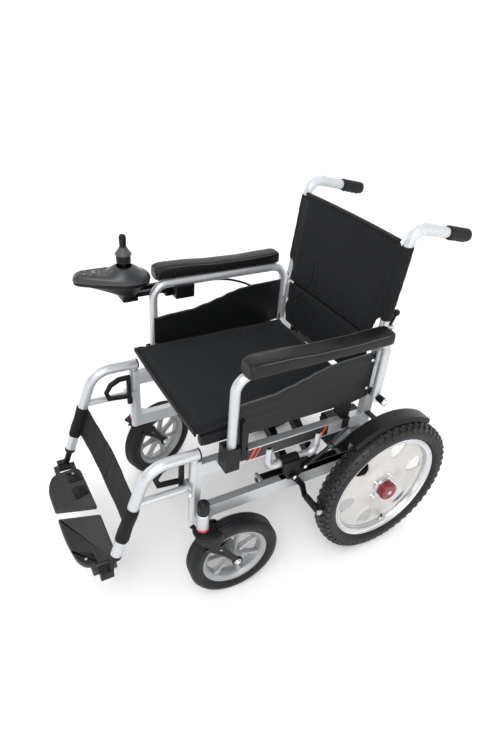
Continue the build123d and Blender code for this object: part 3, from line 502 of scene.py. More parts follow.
def disc_sector(turn):
    """A sixth of the pressed wheel disc, with one leaf-shaped window; points are (u, v, lip)."""
    right = [(0, 89), (7, 91), (17, 102), (23, 118), (21, 130), (12, 136.5), (0, 138)]
    outline = [Vector((u, v, 0)) for u, v in right] + [Vector((-u, v, 0)) for u, v in right[-2:0:-1]]
    outline = curve_points(outline, 6, closed=True)
    core = Vector((0, 113, 0))
    inner, outer = 27.0, 146.5

    def reach(direction):
        """Distances from the core to the window's edge and to the sector's edge."""
        best = 0
        for a, b in zip(outline, outline[1:] + outline[:1]):
            e = b - a
            det = direction.x * -e.y + direction.y * e.x
            if abs(det) < 1e-9:
                continue
            w = a - core
            t = (w.x * -e.y + w.y * e.x) / det
            k = (direction.x * w.y - direction.y * w.x) / det
            if t > 0 and -1e-6 <= k <= 1 + 1e-6:
                best = max(best, t)
        far = []
        for radius in (inner, outer):
            b = core.dot(direction)
            d = b * b - (core.length_squared - radius * radius)
            if d >= 0:
                far += [t for t in (-b - math.sqrt(d), -b + math.sqrt(d)) if t > 1]
        for sign in (1, -1):
            edge = Vector((sign * 0.5, math.sqrt(0.75), 0))
            det = direction.x * -edge.y + direction.y * edge.x
            if abs(det) > 1e-9:
                t = (-core.x * -edge.y + -core.y * edge.x) / det
                if t > 0:
                    far.append(t)
        return best, min(far)

    corners = [Vector((sign * radius * 0.5, radius * math.sqrt(0.75), 0)) - core
               for sign in (1, -1) for radius in (inner, outer)]
    angles = [math.atan2(c.y, c.x) for c in corners]
    angles += [math.pi * (i + 0.5) / 36 - math.pi / 2 for i in range(72)]
    angles = sorted({round(a % (2 * math.pi), 6) for a in angles})
    loops = []
    shares = (0, 0.035, 0.08, 0.14, 0.24, 0.4, 0.6, 0.8, 1)
    for share in shares:
        loop = []
        for a in angles:
            d = Vector((math.cos(a), math.sin(a), 0))
            near, far = reach(d)
            p = core + d * (near + (far - near) * share)
            loop.append(Vector((p.x, p.y, (far - near) * share)))
        loops.append(loop)
    verts, faces = rings(loops, close_ends=False)
    out = []
    for p in verts:
        a = math.atan2(p.x, p.y) + turn
        out.append((math.hypot(p.x, p.y), a, p.z))
    return out, faces


DISC_X = [(27, 279.5), (46, 279), (60, 271), (80, 268.2), (100, 267), (122, 266.2), (136, 267.5), (146, 272.5)]


def rear_disc(side, s):
    parts = []
    for k in range(6):
        verts, faces = disc_sector(math.radians(60 * k + 15))
        points = []
        for r, a, away in verts:
            x = curve_at(DISC_X, r) + 2.6 * math.exp(-(away / 3.2) ** 2)
            x -= 2.2 * math.exp(-((r - 72) / 9) ** 2) * (0.5 + 0.5 * math.cos(6 * (a - math.radians(45))))
            points.append(mm(s * x, r * math.sin(a), REAR_R + r * math.cos(a)))
        parts.append((points, faces))
    obj = new_object("disc_" + side, *join_data(parts))
    bm = bmesh.new()
    bm.from_mesh(obj.data)
    bmesh.ops.remove_doubles(bm, verts=bm.verts, dist=2e-5)
    bmesh.ops.recalc_face_normals(bm, faces=bm.faces)
    bm.to_mesh(obj.data)
    bm.free()
    modify(obj, "SOLIDIFY", thickness=0.0026, offset=0)
    apply_modifiers(obj)
    smooth_by_angle(obj, 50)
    return place(obj, "wheel_" + side, DISC, "rim_silver", "rear_rim_" + side)


def nut_data(s, x0, x1, y, z, r, dome=0.0):
    """A hexagonal nut whose axis is along X, with chamfered corners and a dome if asked."""
    loops = []
    rows = [(x0, 1.0), (x0 + (x1 - x0) * 0.8, 1.0), (x1, 0.86)]
    rows += [(x1 + dome * math.sin(t), 0.72 * math.cos(t) + 0.02) for t in (0.05, 0.5, 1.0, 1.4)] if dome else []
    for x, k in rows:
        loop = []
        for a in around(24):
            flat = 1 / math.cos((a % (math.pi / 3)) - math.pi / 6) * 0.89 if k > 0.9 else 1.0
            loop.append(mm(s * x, y + r * k * flat * math.sin(a), z + r * k * flat * math.cos(a)))
        loops.append(loop)
    return rings(loops)


def rear_rim(side, s):
    hub = mm(0, 0, REAR_R)
    rim = [(288.5, 162.2), (291, 162.2), (292, 160.6), (291.6, 158.6), (289.5, 157), (287.5, 153.5),
           (286.5, 148.5), (282, 145.5), (272, 143.5), (262, 145.5), (257.5, 149), (256.5, 154),
           (255.5, 158), (254.6, 160.5), (255.2, 162.2), (257.5, 162.2), (258.3, 158.6), (259, 155.5),
           (264, 152), (272, 147.5), (280, 150), (286, 155.2), (287.6, 158.8)]
    piece("rim_" + side, lathe(rim, hub, (s, 0, 0), 128, closed=True), "wheel_" + side, RIM, "rim_silver", angle=30)

    flange = [(268, 12), (268, 29), (272, 31), (281.5, 31), (283, 29.5), (283, 26.5), (286.6, 26), (286.6, 12)]
    piece("hub_" + side, lathe(flange, hub, (s, 0, 0), 72, closed=True),
          "wheel_" + side, RIM, "rim_silver", angle=30)

    parts = []
    for i in range(5):
        a = 2 * math.pi * (i + 0.3) / 5
        y, z = 39 * math.sin(a), REAR_R + 39 * math.cos(a)
        parts.append(lathe([(278.5, 0.1), (278.5, 7.6), (280.4, 7.4), (280.4, 0.1)], mm(0, y, z), (s, 0, 0), 24, True))
        parts.append(nut_data(s, 280.2, 285.6, y, z, 5.6, 2.6))
    down = Vector((0, 28, -125.5)).normalized()
    foot, tip = mm(s * 280, 0, REAR_R) + down * 0.1475, mm(s * 280.5, 0, REAR_R) + down * 0.124
    parts.append(tube([foot, tip], 2.6, 14))
    piece("hub_bolts_" + side, join_data(parts), "wheel_" + side, CHROME, "rim_silver", angle=35)
    cap = tube([foot.lerp(tip, k) for k in (0.55, 0.6, 0.9, 1.02)], lambda t: (3.4, 3.6, 3.4, 2.2)[round(t * 3)], 14)
    piece("valve_cap_" + side, cap, "wheel_" + side, RUBBER, "tyre_black", angle=35)

    knob = [(287, 25), (291, 25), (292.5, 23.6), (294, 25), (305, 25), (307.6, 23.8), (308.9, 21.4),
            (309, 15.4), (307.8, 14.4), (307.8, 7), (308.6, 6.2), (308.6, 0)]
    parts = [lathe([(286.9, 0)] + knob, hub, (s, 0, 0), 96)]
    for a in around(30):
        rim_point = [mm(s * x, 24.9 * math.sin(a), REAR_R + 24.9 * math.cos(a)) for x in (295, 304.5)]
        parts.append(tube(rim_point, 0.7, 6))
    piece("clutch_cap_" + side, join_data(parts),
          "clutch_" + side, KNOB_RED, "knob_red", "clutch_knob_" + side, angle=30)
    screw = [(307.9, 6.0), (308.9, 5.6), (308.9, 2.8), (308.1, 2.6), (308.1, 0)]
    piece("clutch_screw_" + side, lathe(screw, hub, (s, 0, 0), 24), "clutch_" + side, CHROME, "rim_silver", angle=30)


# ---------------------------------------------------------------- casters and forks
def caster_frame(side, s):
    """Turns a point drawn for a caster trailing straight back to where that caster stands."""
    turn = Matrix.Rotation(-math.radians(4 if s > 0 else 20), 3, "Z")
    stem = mm(226, -508, 0)

    def at(x, y, z):
        p = turn @ (mm(x, y, z) - stem) + stem if s > 0 else mm(x, y, z)
        if s < 0:
            mirrored = Vector((-p.x, p.y, p.z)) - Vector((-stem.x, stem.y, 0))
            p = Matrix.Rotation(math.radians(20), 3, "Z") @ mirrored + Vector((-stem.x, stem.y, 0))
        return p
    return at


def lathe_at(at, profile, centre, seg=72, closed=False):
    """A lathe about an axis along X through centre (x, y, z), each point passed through at."""
    def point(a, j):
        along, r = profile[j]
        return at(centre[0] + along, centre[1] + r * math.sin(a), centre[2] + r * math.cos(a))
    return revolved(seg, len(profile), closed, point)


def caster(side, s):
    at = caster_frame(side, s)
    axle = (226.0, -425.0, 117.0)
    half = [(9.5, 84.5), (17.5, 84.2), (19.5, 86), (21.6, 92), (23.6, 100), (23.4, 107), (21.2, 112.4), (17.6, 114.9)]
    for u in (14.2, 9.6, 5.0):
        half += [(u + 1.4, 115.9), (u + 0.9, 116.4), (u - 0.9, 116.5), (u - 1.5, 116.0), (u - 2.0, 114.9)]
    tyre = half + [(-u, r) for u, r in half[::-1]]
    piece("caster_tyre_" + side, lathe_at(at, tyre, axle, 128, closed=True),
          "caster_" + side, CASTER_RUBBER, "tyre_black", "caster_wheel_" + side, angle=40)

    ring = [(18.4, 85.2), (19.0, 83.2), (18.2, 81.0), (13.5, 74.2), (10.5, 71.5), (-10.5, 71.5), (-13.5, 74.2),
            (-18.2, 81.0), (-19.0, 83.2), (-18.4, 85.2), (-9, 85.4), (9, 85.4)]
    hub = [(26.5, 7), (27.2, 12.5), (26.2, 15.2), (20, 17.4), (12, 18.6), (-12, 18.6), (-20, 17.4), (-26.2, 15.2),
           (-27.2, 12.5), (-26.5, 7)]
    parts = [lathe_at(at, ring, axle, 96, closed=True), lathe_at(at, hub, axle, 48, closed=True)]
    for i in range(7):
        a = 2 * math.pi * (i + 0.2) / 7
        loops = []
        for r, wide, deep in ((12, 9, 23), (20, 8.5, 21), (34, 8, 17.5), (50, 9, 15), (62, 11.5, 15.5), (69, 15.5, 18),
                              (73.5, 20, 22)):
            loop = []
            for j in range(20):
                q = 2 * math.pi * j / 20
                cx = math.copysign(abs(math.cos(q)) ** 0.55, math.cos(q)) * deep / 2
                cw = math.copysign(abs(math.sin(q)) ** 0.7, math.sin(q)) * wide / 2
                y = r * math.sin(a) + cw * math.cos(a)
                z = r * math.cos(a) - cw * math.sin(a)
                loop.append(at(axle[0] + cx, axle[1] + y, axle[2] + z))
            loops.append(loop)
        parts.append(rings(loops))
    piece("caster_spokes_" + side, join_data(parts), "caster_" + side, CASTER_RIM, "rim_silver", angle=45)


def fork(side, s):
    at = caster_frame(side, s)
    x0 = 226.0
    crown = []
    for t in range(13):
        q = t / 12
        z = 232.5 - 1.5 * q - 50 * q ** 2.2
        y_mid = -506 + 22 * q
        half_len = 24 + 11 * math.sin(math.pi * min(q * 1.2, 1)) - 3 * q
        crown.append((z, y_mid, half_len, 17 + 13.4 * math.sin(min(1, q * 2.1) * math.pi / 2)))
    parts = []
    for sign in (1, -1):
        loops = []
        for z, y_mid, half_len, out in crown:
            loop = []
            for a in around(28):
                u = math.copysign(abs(math.cos(a)) ** 0.6, math.cos(a)) * half_len
                v = math.copysign(abs(math.sin(a)) ** 0.8, math.sin(a)) * 2.9
                loop.append(at(x0 + sign * (out - 1.0 + v - 0.006 * u * u), y_mid + u, z))
            loops.append(loop)
        parts.append(rings(loops))
        for y0, y1, w in ((-508, -428, 7.6), (-470, -422, 7.0)):
            loops = []
            for q in [i / 10 for i in range(11)]:
                y = y0 + (y1 - y0) * q + 5 * math.sin(math.pi * q) * (1 if y0 < -490 else -1)
                z = 196 - 76 * q
                half = w * (1 - 0.22 * math.sin(math.pi * q))
                loop = []
                for a in around(16):
                    loop.append(at(x0 + sign * (29.6 - 0.6 * q + 2.6 * math.sin(a)),
                                   y + half * math.cos(a), z + 0.35 * half * math.cos(a)))
                loops.append(loop)
            parts.append(rings(loops))
        pad = [(sign * 27.0, 0.2), (sign * 27.0, 12.5), (sign * 28.0, 13.6), (sign * 31.6, 13.4), (sign * 32.6, 12.0),
               (sign * 32.6, 0.2)]
        parts.append(lathe_at(at, pad, (x0, -425, 117), 36, True))
    top = [(225.5, 0.5), (225.5, 24), (228, 27), (233, 26), (235, 22), (235.6, 15), (236.8, 14.2), (236.8, 0.5)]
    loops = []
    for a in around(40):
        loops.append([at(x0 + r * math.cos(a) * 1.05, -508 + 4 + r * math.sin(a) * 1.02, z) for z, r in top])
    parts.append(rings(loops, close_ends=False, joined=True, ring_closed=True))
    piece("fork_" + side, join_data(parts),
          "fork_" + side, BLACK_STEEL, "black_steel", "caster_fork_" + side, angle=42)

    parts = []
    for sign in (1, -1):
        dome = [(sign * x, r) for x, r in ((32.4, 0.1), (32.4, 8.6), (33.2, 8.8), (33.2, 6.6), (36, 6.4), (38.2, 4.6),
                                           (39, 2.2), (39.2, 0.1))]
        parts.append(lathe_at(at, dome, (x0, -425, 117), 24, True))
    piece("fork_nuts_" + side, join_data(parts), "fork_" + side, CHROME, "rim_silver", angle=35)


def stem_rings(side, s):
    """The red dust ring under the stem housing and the silver ring under its domed cap."""
    base = mm(s * 226, -508, 0)
    red = [(237.95, 11.5), (237.95, 14.0), (239.6, 15.2), (243.5, 15.2), (244.6, 14.4), (244.6, 11.5)]
    piece("stem_ring_" + side, lathe(red, base, (0, 0, 1), 48, closed=True),
          "frame_" + side, RING_RED, "knob_red", angle=35)
    band = [(286.4, 13.6), (286.4, 15.3), (290.6, 15.3), (290.9, 14.8), (290.9, 13.6)]
    piece("stem_band_" + side, lathe(band, base, (0, 0, 1), 48, closed=True),
          "frame_" + side, CHROME, "rim_silver", angle=35)


for side, s in SIDES.items():
    rear_tyre(side, s)
    rear_disc(side, s)
    rear_rim(side, s)
    caster(side, s)
    fork(side, s)
    stem_rings(side, s)


# ---------------------------------------------------------------- soft goods
def pillow(name, where, nu, nv, sharp=16):
    """A closed soft slab: where(u, v, w) gives its points, u and v across it and w through it."""
    def spread(i, n):
        t = -1 + 2 * i / n
        return math.copysign(1 - (1 - abs(t)) ** 1.35, t)
    top, low = [], []
    for j in range(nv + 1):
        v = spread(j, nv)
        for i in range(nu + 1):
            u = spread(i, nu)
            w = math.sqrt(max(0, 1 - abs(u) ** sharp)) * math.sqrt(max(0, 1 - abs(v) ** sharp))
            top.append(where(u, v, w))
            low.append(where(u, v, -w))
    n = len(top)
    faces = []
    for j in range(nv):
        for i in range(nu):
            a = j * (nu + 1) + i
            b = a + nu + 1
            faces.append([a, a + 1, b + 1, b])
            faces.append([n + a, n + b, n + b + 1, n + a + 1])
    return new_object(name, top + low, faces)


def puff(obj, voxel, pressure, cap, stay=None):
    """Blows a closed slab up a little as cloth, so that it crowns and pulls in like stuffed fabric."""
    modify(obj, "REMESH", mode="VOXEL", voxel_size=voxel / 1000, use_smooth_shade=True)
    apply_modifiers(obj)
    before = np.array([v.co for v in obj.data.vertices])
    group = obj.vertex_groups.new(name="held")
    for v in obj.data.vertices:
        group.add([v.index], stay(v.co) if stay else 0.0, "REPLACE")
    cloth = obj.modifiers.new("Cloth", "CLOTH")
    cloth.settings.use_pressure = True
    cloth.settings.uniform_pressure_force = pressure
    cloth.settings.mass = 0.3
    cloth.settings.tension_stiffness = 20
    cloth.settings.compression_stiffness = 20
    cloth.settings.bending_stiffness = 0.8
    cloth.settings.vertex_group_mass = "held"
    cloth.settings.effector_weights.gravity = 0
    cloth.collision_settings.use_collision = False
    scene = bpy.context.scene
    for f in range(1, 21):
        scene.frame_set(f)
    apply_modifiers(obj)
    after = np.array([v.co for v in obj.data.vertices])
    move = after - before
    size = np.linalg.norm(move, axis=1, keepdims=True)
    move *= np.minimum(1, (cap / 1000) / np.maximum(size, 1e-9))
    obj.data.vertices.foreach_set("co", (before + move).ravel())
    obj.vertex_groups.clear()
    modify(obj, "SUBSURF", levels=1, render_levels=1)
    apply_modifiers(obj)
    scene.frame_set(1)
    for p in obj.data.polygons:
        p.use_smooth = True
    return obj


def stitched(obj, lines, plane, face, width, depth, puffed=0.0):
    """Sinks sewn lines into the side of a soft piece that faces along face; lines are in its plane."""
    count = len(obj.data.vertices)
    co = np.empty(count * 3)
    obj.data.vertices.foreach_get("co", co)
    co = co.reshape(-1, 3)
    normals = np.empty(count * 3)
    obj.data.vertices.foreach_get("normal", normals)
    normals = normals.reshape(-1, 3)
    shown = np.clip(((normals * np.array(face)).sum(axis=1) - 0.1) / 0.4, 0, 1)
    at = co[:, plane] * 1000
    near = np.full(count, 1e9)
    for line in lines:
        for (a, b), (c, d) in zip(line, line[1:]):
            p, q = np.array((a, b), float), np.array((c, d), float)
            t = np.clip(((at - p) * (q - p)).sum(axis=1) / max(((q - p) ** 2).sum(), 1e-9), 0, 1)
            near = np.minimum(near, np.sqrt(((at - p - t[:, None] * (q - p)) ** 2).sum(axis=1)))
    sink = depth * np.exp(-(near / width) ** 2) - puffed * np.exp(-((near - 3.2 * width) / (1.6 * width)) ** 2)
    co -= np.array(face) * (sink * shown / 1000)[:, None]
    obj.data.vertices.foreach_set("co", co.ravel())
    obj.data.update()
    return obj


def smooth_line(points, steps=6):
    return [(p.x, p.y) for p in curve_points([Vector((a, b, 0)) for a, b in points], steps)]


def sewn(start, end, bow, middle, half):
    """A sewn line that bows between two places, all in shares of the half size of its panel."""
    (x0, y0), (x1, y1) = start, end
    away = Vector((y0 - y1, x1 - x0)).normalized() * bow
    line = []
    for i in range(25):
        t = i / 24
        k = 4 * t * (1 - t)
        line.append((middle[0] + half[0] * (x0 + (x1 - x0) * t + away.x * k),
                     middle[1] + half[1] * (y0 + (y1 - y0) * t + away.y * k)))
    return line


def stitches(name, path, radius=0.45, pitch=3.4, share=0.62):
    """A row of short thread stitches along points in metres."""
    lengths = [0]
    for a, b in zip(path, path[1:]):
        lengths.append(lengths[-1] + (b - a).length)

    def point(d):
        for a, b, la, lb in zip(path, path[1:], lengths, lengths[1:]):
            if d <= lb:
                return a.lerp(b, (d - la) / max(lb - la, 1e-9))
        return path[-1]
    parts = []
    d = 0
    while d + pitch * share / 1000 < lengths[-1]:
        run = [point(d + pitch * share / 1000 * k / 3) for k in range(4)]
        parts.append(tube(run, lambda t: radius * (0.55 + 0.45 * math.sin(math.pi * t)), 6))
        d += pitch / 1000
    return new_object(name, *join_data(parts))


def seat():
    def where(u, v, w):
        x = 190.5 * u * (1 - 0.008 * math.cos(math.pi * v))
        y = -292.5 + 222.5 * v - 3.0 * (1 - u * u) * (v < 0) * v * v
        crown = 7.5 * (1 - abs(u) ** 2.6) * (1 - abs(v) ** 3) if w > 0 else 0
        z = 490.6 + (7.0 + crown) * w
        return mm(x, y, z)
    obj = pillow("seat_cushion", where, 128, 144, 20)
    puff(obj, 5, 3.0, 3.5, lambda p: 1.0 if p.z < 0.4875 else 0.0)
    fine = random.Random(4)
    offset = Vector((fine.uniform(0, 9), fine.uniform(0, 9), 0))
    up = [v.normal.z > 0.2 for v in obj.data.vertices]
    for vert, shown in zip(obj.data.vertices, up):
        if shown:
            q = vert.co
            ripple = noise.noise(Vector((q.x * 9, q.y * 5, 0)) + offset) * 1.1
            ripple += noise.noise(Vector((q.x * 26 + q.y * 9, q.y * 12, 3)) + offset) * 0.45
            vert.co.z += ripple / 1000
        vert.co.z = min(max(vert.co.z, 0.4836), 0.5068)
    panel = dict(middle=(0, -292.5 + AXLE_Y), half=(192, 222.5))
    lines = [sewn((-1, 0), (0.25, -0.3), -0.08, **panel), sewn((-1, 0.5), (-0.3, 0.2), -0.02, **panel)]
    front, rear, side_hem = -503, -96, 177
    lines.append([(-180, front + AXLE_Y), (180, front + AXLE_Y)])
    lines += [[(x, -500 + AXLE_Y), (x, rear + AXLE_Y)] for x in (side_hem, -side_hem)]
    stitched(obj, lines, [0, 1], (0, 0, 1), 2.4, 2.6, 0.7)
    place(obj, "seat", SEAT_CLOTH, "seat_fabric", "seat_pad")
    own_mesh(obj)

    path = [mm(190.5 * u, -300 - 215 - 3.0 * (1 - u * u), 490.8) for u in [-0.975 + 1.95 * i / 60 for i in range(61)]]
    loops = []
    for p in path:
        loops.append([p + Vector((0, math.cos(a) * 3.0 + 1.6, math.sin(a) * 7.0)) / 1000 for a in
                      around(16)])
    edge = piece("seat_binding", rings(loops), "seat", EDGE_CLOTH, "seat_fabric")
    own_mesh(edge)
    row = [p + Vector((0, -2.1, 1.6)) / 1000 for p in path[31:]]
    thread = stitches("seat_stitching", row, 0.4, 3.6)
    place(thread, "seat", THREAD, "seat_fabric")
    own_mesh(thread)

    for side, s in SIDES.items():
        body = "bar_b" if s > 0 else "bar_a"
        parts = []
        for y0, y1 in ((-497, -417), (-383, -240), (-214, -160)):
            run = [mm(s * 185, y0 + (y1 - y0) * k / 24, 470) for k in range(25)]
            parts.append(tube(run, lambda t: 13.5 - 0.7 * (2 * t - 1) ** 12, 28))
        piece("seat_sleeve_" + side, join_data(parts), body, SEAT_CLOTH, "seat_fabric")
        end = mm(s * 185, -500, 470)
        cap = lathe([(-3.2, 0), (-3.2, 9.5), (-2.2, 11.6), (-0.4, 12.6), (0.6, 12.4), (0.6, 0)], end, (0, 1, 0), 36)
        cap = new_object("seat_tube_cap_" + side, *cap)
        smooth_by_angle(cap, 35)
        place(cap, body, BLACK_PLASTIC, "black_plastic")


def lean(z):
    return -49 + (z - 620) * math.tan(math.radians(5.5))


def back():
    def where(u, v, w):
        z = 739.6 + 119 * v
        wide = 176 + 13.5 * min(1, max(0, (z - 668) / 14)) * min(1, max(0, (858 - z) / 10))
        y = lean(z) - 12.3 + 9 * (1 - abs(u) ** 2.2) * (1 - 0.35 * v * v) + 4.4 * w
        return mm(wide * u, y, z)
    obj = pillow("back_rest", where, 128, 96, 26)
    puff(obj, 5, 2.0, 2.5, lambda p: 1.0 if abs(p.x) > 0.170 else 0.0)
    for vert in obj.data.vertices:
        q = vert.co
        k = 1 - min(1, abs(q.x) / 0.18) ** 4
        vert.co.y += k * (noise.noise(Vector((q.x * 8, q.z * 6, 1.7))) * 1.6
                          + noise.noise(Vector((q.x * 30, q.z * 11, 5.1))) * 0.5) / 1000
    panel = dict(middle=(0, 739.6), half=(176, 119))
    lines = [sewn((-0.55, -0.1), (0.3, -0.15), 0, **panel), sewn((-0.5, -0.3), (-0.55, -1.05), 0.08, **panel),
             sewn((0.25, -0.55), (0.45, -1), 0, **panel), sewn((-1, 0.92), (1, 0.92), 0, **panel),
             sewn((-1, -0.9), (1, -0.9), 0, **panel)]
    stitched(obj, lines, [0, 2], (0, -1, 0), 2.4, 2.6, 0.7)
    parts = [([v.co.copy() for v in obj.data.vertices], [list(p.vertices) for p in obj.data.polygons])]
    for s in (1, -1):
        axis = Vector((0, math.tan(math.radians(5.5)), 1)).normalized()
        low = mm(s * 192, lean(677), 677)
        length = 172.5 / axis.z
        loops = []
        for i in range(61):
            t = i / 60
            centre = low + axis * length * t / 1000
            tight = 14.1 - 0.5 * max(0, math.cos(2 * math.pi * t * 5.5)) - 1.2 * (2 * t - 1) ** 20
            loop = []
            for a in around(32):
                r = tight + 0.25 * math.sin(3 * a + 9 * t)
                loop.append(centre + Vector((math.cos(a), math.sin(a), 0)) * r / 1000)
            loops.append(loop)
        inner = [[low + axis * length * t / 1000 + Vector((math.cos(a), math.sin(a), 0)) * 0.01145
                  for a in around(32)] for t in (1, 0)]
        parts.append(rings(loops + inner, close_ends=False, joined=True))
    whole = new_object("back_cushion", *join_data(parts))
    bpy.data.objects.remove(obj)
    place(whole, "back_left", BACK_CLOTH, "seat_fabric", "back_upholstery")
    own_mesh(whole)

    path = [mm(u * 176, lean(858) - 12.3 + 9 * (1 - abs(u) ** 2.2) * 0.65, 857.4)
            for u in [-0.99 + 1.98 * i / 50 for i in range(51)]]
    loops = [[p + Vector((0, math.cos(a) * 6.4, math.sin(a) * 3.4)) / 1000 for a in
              around(14)] for p in path]
    hem = piece("back_binding", rings(loops), "back_left", EDGE_CLOTH, "seat_fabric")
    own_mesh(hem)

    strip = [[mm(x, y, z) for y, z in ((-50.6, 607), (-49.4, 607), (-49.2, 614), (-49.4, 621.4), (-50.6, 621.4))]
             for x in range(-172, 173, 8)]
    flap = piece("back_flap", rings(strip), "frame_left", BACK_CLOTH, "seat_fabric")
    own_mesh(flap)

    def low_panel(u, v, w):
        z = 556.7 + 62.5 * v
        wide = 175.5 + 7 * math.exp(-((z - 534) / 20) ** 6)
        y = -62 + 6 * (1 - abs(u) ** 2.2) * (0.6 + 0.4 * v) + 3.8 * w
        return mm(wide * u, y, z)
    obj = pillow("back_lower", low_panel, 110, 40, 22)
    puff(obj, 5, 1.5, 1.5, lambda p: 1.0 if abs(p.x) > 0.165 else 0.0)
    for vert in obj.data.vertices:
        q = vert.co
        vert.co.y += (1 - min(1, abs(q.x) / 0.18) ** 4) * noise.noise(Vector((q.x * 12, q.z * 9, 8.7))) * 1.3 / 1000
    panel = dict(middle=(0, 556.7), half=(176, 62.5))
    lines = [sewn((-0.55, 0.9), (-0.85, 0.15), 0, **panel), sewn((0.45, 1), (0.55, 0.6), 0, **panel),
             sewn((-0.7, -0.75), (0.7, -0.75), 0.3, **panel)]
    stitched(obj, lines, [0, 2], (0, -1, 0), 2.4, 2.4, 0.6)
    place(obj, "frame_left", BACK_CLOTH, "seat_fabric", "lower_back_panel")
    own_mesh(obj)


def arm_pad(side, s):
    top_line = [(-438, 687.5), (-415, 689.5), (-360, 688.5), (-270, 683), (-190, 681.5), (-110, 684), (-72, 686)]

    def section(y, grow, drop):
        top = curve_at(top_line, y) - drop
        low = 654.4
        mid, half = (top + low) / 2, (top - low) / 2 * (0.55 + 0.45 * grow)
        loop = []
        for a in around(56):
            c, q = math.cos(a), math.sin(a)
            n = 0.42 if q > 0 else 0.5
            x = math.copysign(abs(c) ** n, c) * (22.6 + 0.8 * max(0, -q + 0.2)) * grow
            z = math.copysign(abs(q) ** 0.46, q) * half
            if q > 0:
                z += 1.1 * (1 - (x / 23) ** 2)
            loop.append(mm(s * (242 + x), y, mid + z - 1.1))
        return loop
    front = []
    for i in range(10):
        t = i / 9
        g = math.sin(t * math.pi / 2) ** 0.7
        front.append(section(-437.6 + 14 * t ** 1.6, 0.72 + 0.28 * g, 3.4 * (1 - g)))
    middle = [section(-423 + 338 * i / 84, 1, 0) for i in range(85)]
    rear = []
    for i in range(9):
        t = 1 - i / 8
        g = math.sin(t * math.pi / 2) ** 0.7
        rear.append(section(-84.6 + 12.4 * (1 - t) ** 0.7, 0.78 + 0.22 * g, 2.4 * (1 - g)))
    obj = new_object("arm_pad_" + side, *rings(front + middle[1:] + rear[1:]))
    outward = [v.normal.copy() for v in obj.data.vertices]
    for vert, way in zip(obj.data.vertices, outward):
        q = vert.co
        vert.co += way * noise.noise(Vector((q.x * 30, q.y * 14, q.z * 30))) * 0.0005
    place(obj, "armrest_" + side, LEATHER, "pad_leather", "armrest_pad_" + side, angle=50)
    parts = []
    # The piping beads along the pad's sides are real, but they are coloured lighter than the leather: a painted
    # highlight line along the edge.
    for sign in (1, -1):
        run = []
        for i in range(70):
            y = -428 + 348 * i / 69
            half = 21.6
            run.append(mm(s * (242 + sign * half), y, curve_at(top_line, y) - 3.6))
        parts.append(tube(run, lambda t: 1.15 * min(1, 12 * t + 0.2, 12 * (1 - t) + 0.2), 10))
    piece("arm_pad_seam_" + side, join_data(parts), "armrest_" + side, PIPING_PAINTED_HIGHLIGHT, "pad_leather")


PANEL_TOP = [(-450, 556), (-400, 561), (-345, 563.5), (-300, 573), (-262, 583), (-228, 593.5), (-195, 601), (-150, 605),
             (-66, 607)]


def side_guard(side, s):
    def step_up(front, rise, top, low, high):
        """A ridge from front to the rear end that rises from low to high between rise and top."""
        return [(y, curve_at([(rise, low), (top, high)], y)) for y in range(front, -84, 10)]
    ridges = [step_up(-433, -345, -225, 517, 557), step_up(-299, -330, -185, 484, 536),
              step_up(-440, -345, -215, 540, 585)]

    def ridge(y, z):
        best = 0
        for line, high in zip(ridges, (0.8, 0.75, 0.6)):
            for (a, b), (c, d) in zip(line, line[1:]):
                t = ((y - a) * (c - a) + (z - b) * (d - b)) / ((c - a) ** 2 + (d - b) ** 2)
                t = min(1, max(0, t))
                dy, dz = y - a - t * (c - a), z - b - t * (d - b)
                away = math.hypot(dy, dz) * (1 if dz > 0 else 1.9)
                best = max(best, high * math.exp(-(away / 7.5) ** 2))
        return best
    nu, nv = 160, 48
    outer, inner = [], []
    for j in range(nv + 1):
        v = j / nv
        for i in range(nu + 1):
            y = -450 + 384 * i / nu
            low = 483 - 10 * min(1, (y + 450) / 10) + 9 * max(0, (y + 110) / 44)
            z = low + (curve_at(PANEL_TOP, y) - low) * v
            rim = min(1, min(v, 1 - v) * 16, min(i, nu - i) / 2.5)
            x = 211.6 + 0.9 * math.sqrt(rim) + ridge(y, z) + 0.25
            outer.append(mm(s * x, y, z))
            inner.append(mm(s * (211.5 - 1.7 * math.sqrt(rim)), y, z))
    n = len(outer)
    faces = []
    for j in range(nv):
        for i in range(nu):
            a = j * (nu + 1) + i
            b = a + nu + 1
            faces.append([a, a + 1, b + 1, b])
            faces.append([n + a, n + b, n + b + 1, n + a + 1])
    edge = [j * (nu + 1) for j in range(nv + 1)]
    border = list(range(nu + 1)) + [e + nu for e in edge[1:]] + [nv * (nu + 1) + i for i in range(nu - 1, -1, -1)]
    border += edge[-2:0:-1]
    for a, b in zip(border, border[1:] + border[:1]):
        faces.append([a, b, n + b, n + a])
    piece("guard_" + side, (outer + inner, faces),
          "armrest_" + side, FRAME_PLATE, "black_plastic", "side_panel_" + side, angle=60)
    lip = [mm(s * 211.7, -449 + 382 * i / 90, curve_at(PANEL_TOP, -449 + 382 * i / 90) - 0.6) for i in range(91)]
    piece("guard_lip_" + side, tube(lip, 1.9, 12), "armrest_" + side, LIP_GREY, "black_plastic")
    parts = []
    front, rear = -450 + 6, -66 - 8
    for y, below in ((front, 10), (front, 65), (rear, 22), (rear, 101)):
        z = curve_at(PANEL_TOP, y) - below
        head = [(212.4, 0), (212.4, 4.6), (213.2, 4.5), (213.8, 3.6), (213.95, 2.2), (213.5, 1.6), (213.5, 0)]
        parts.append(lathe(head, mm(0, y, z), (s, 0, 0), 20))
    piece("guard_screws_" + side, join_data(parts), "armrest_" + side, CHROME, "rim_silver", angle=40)
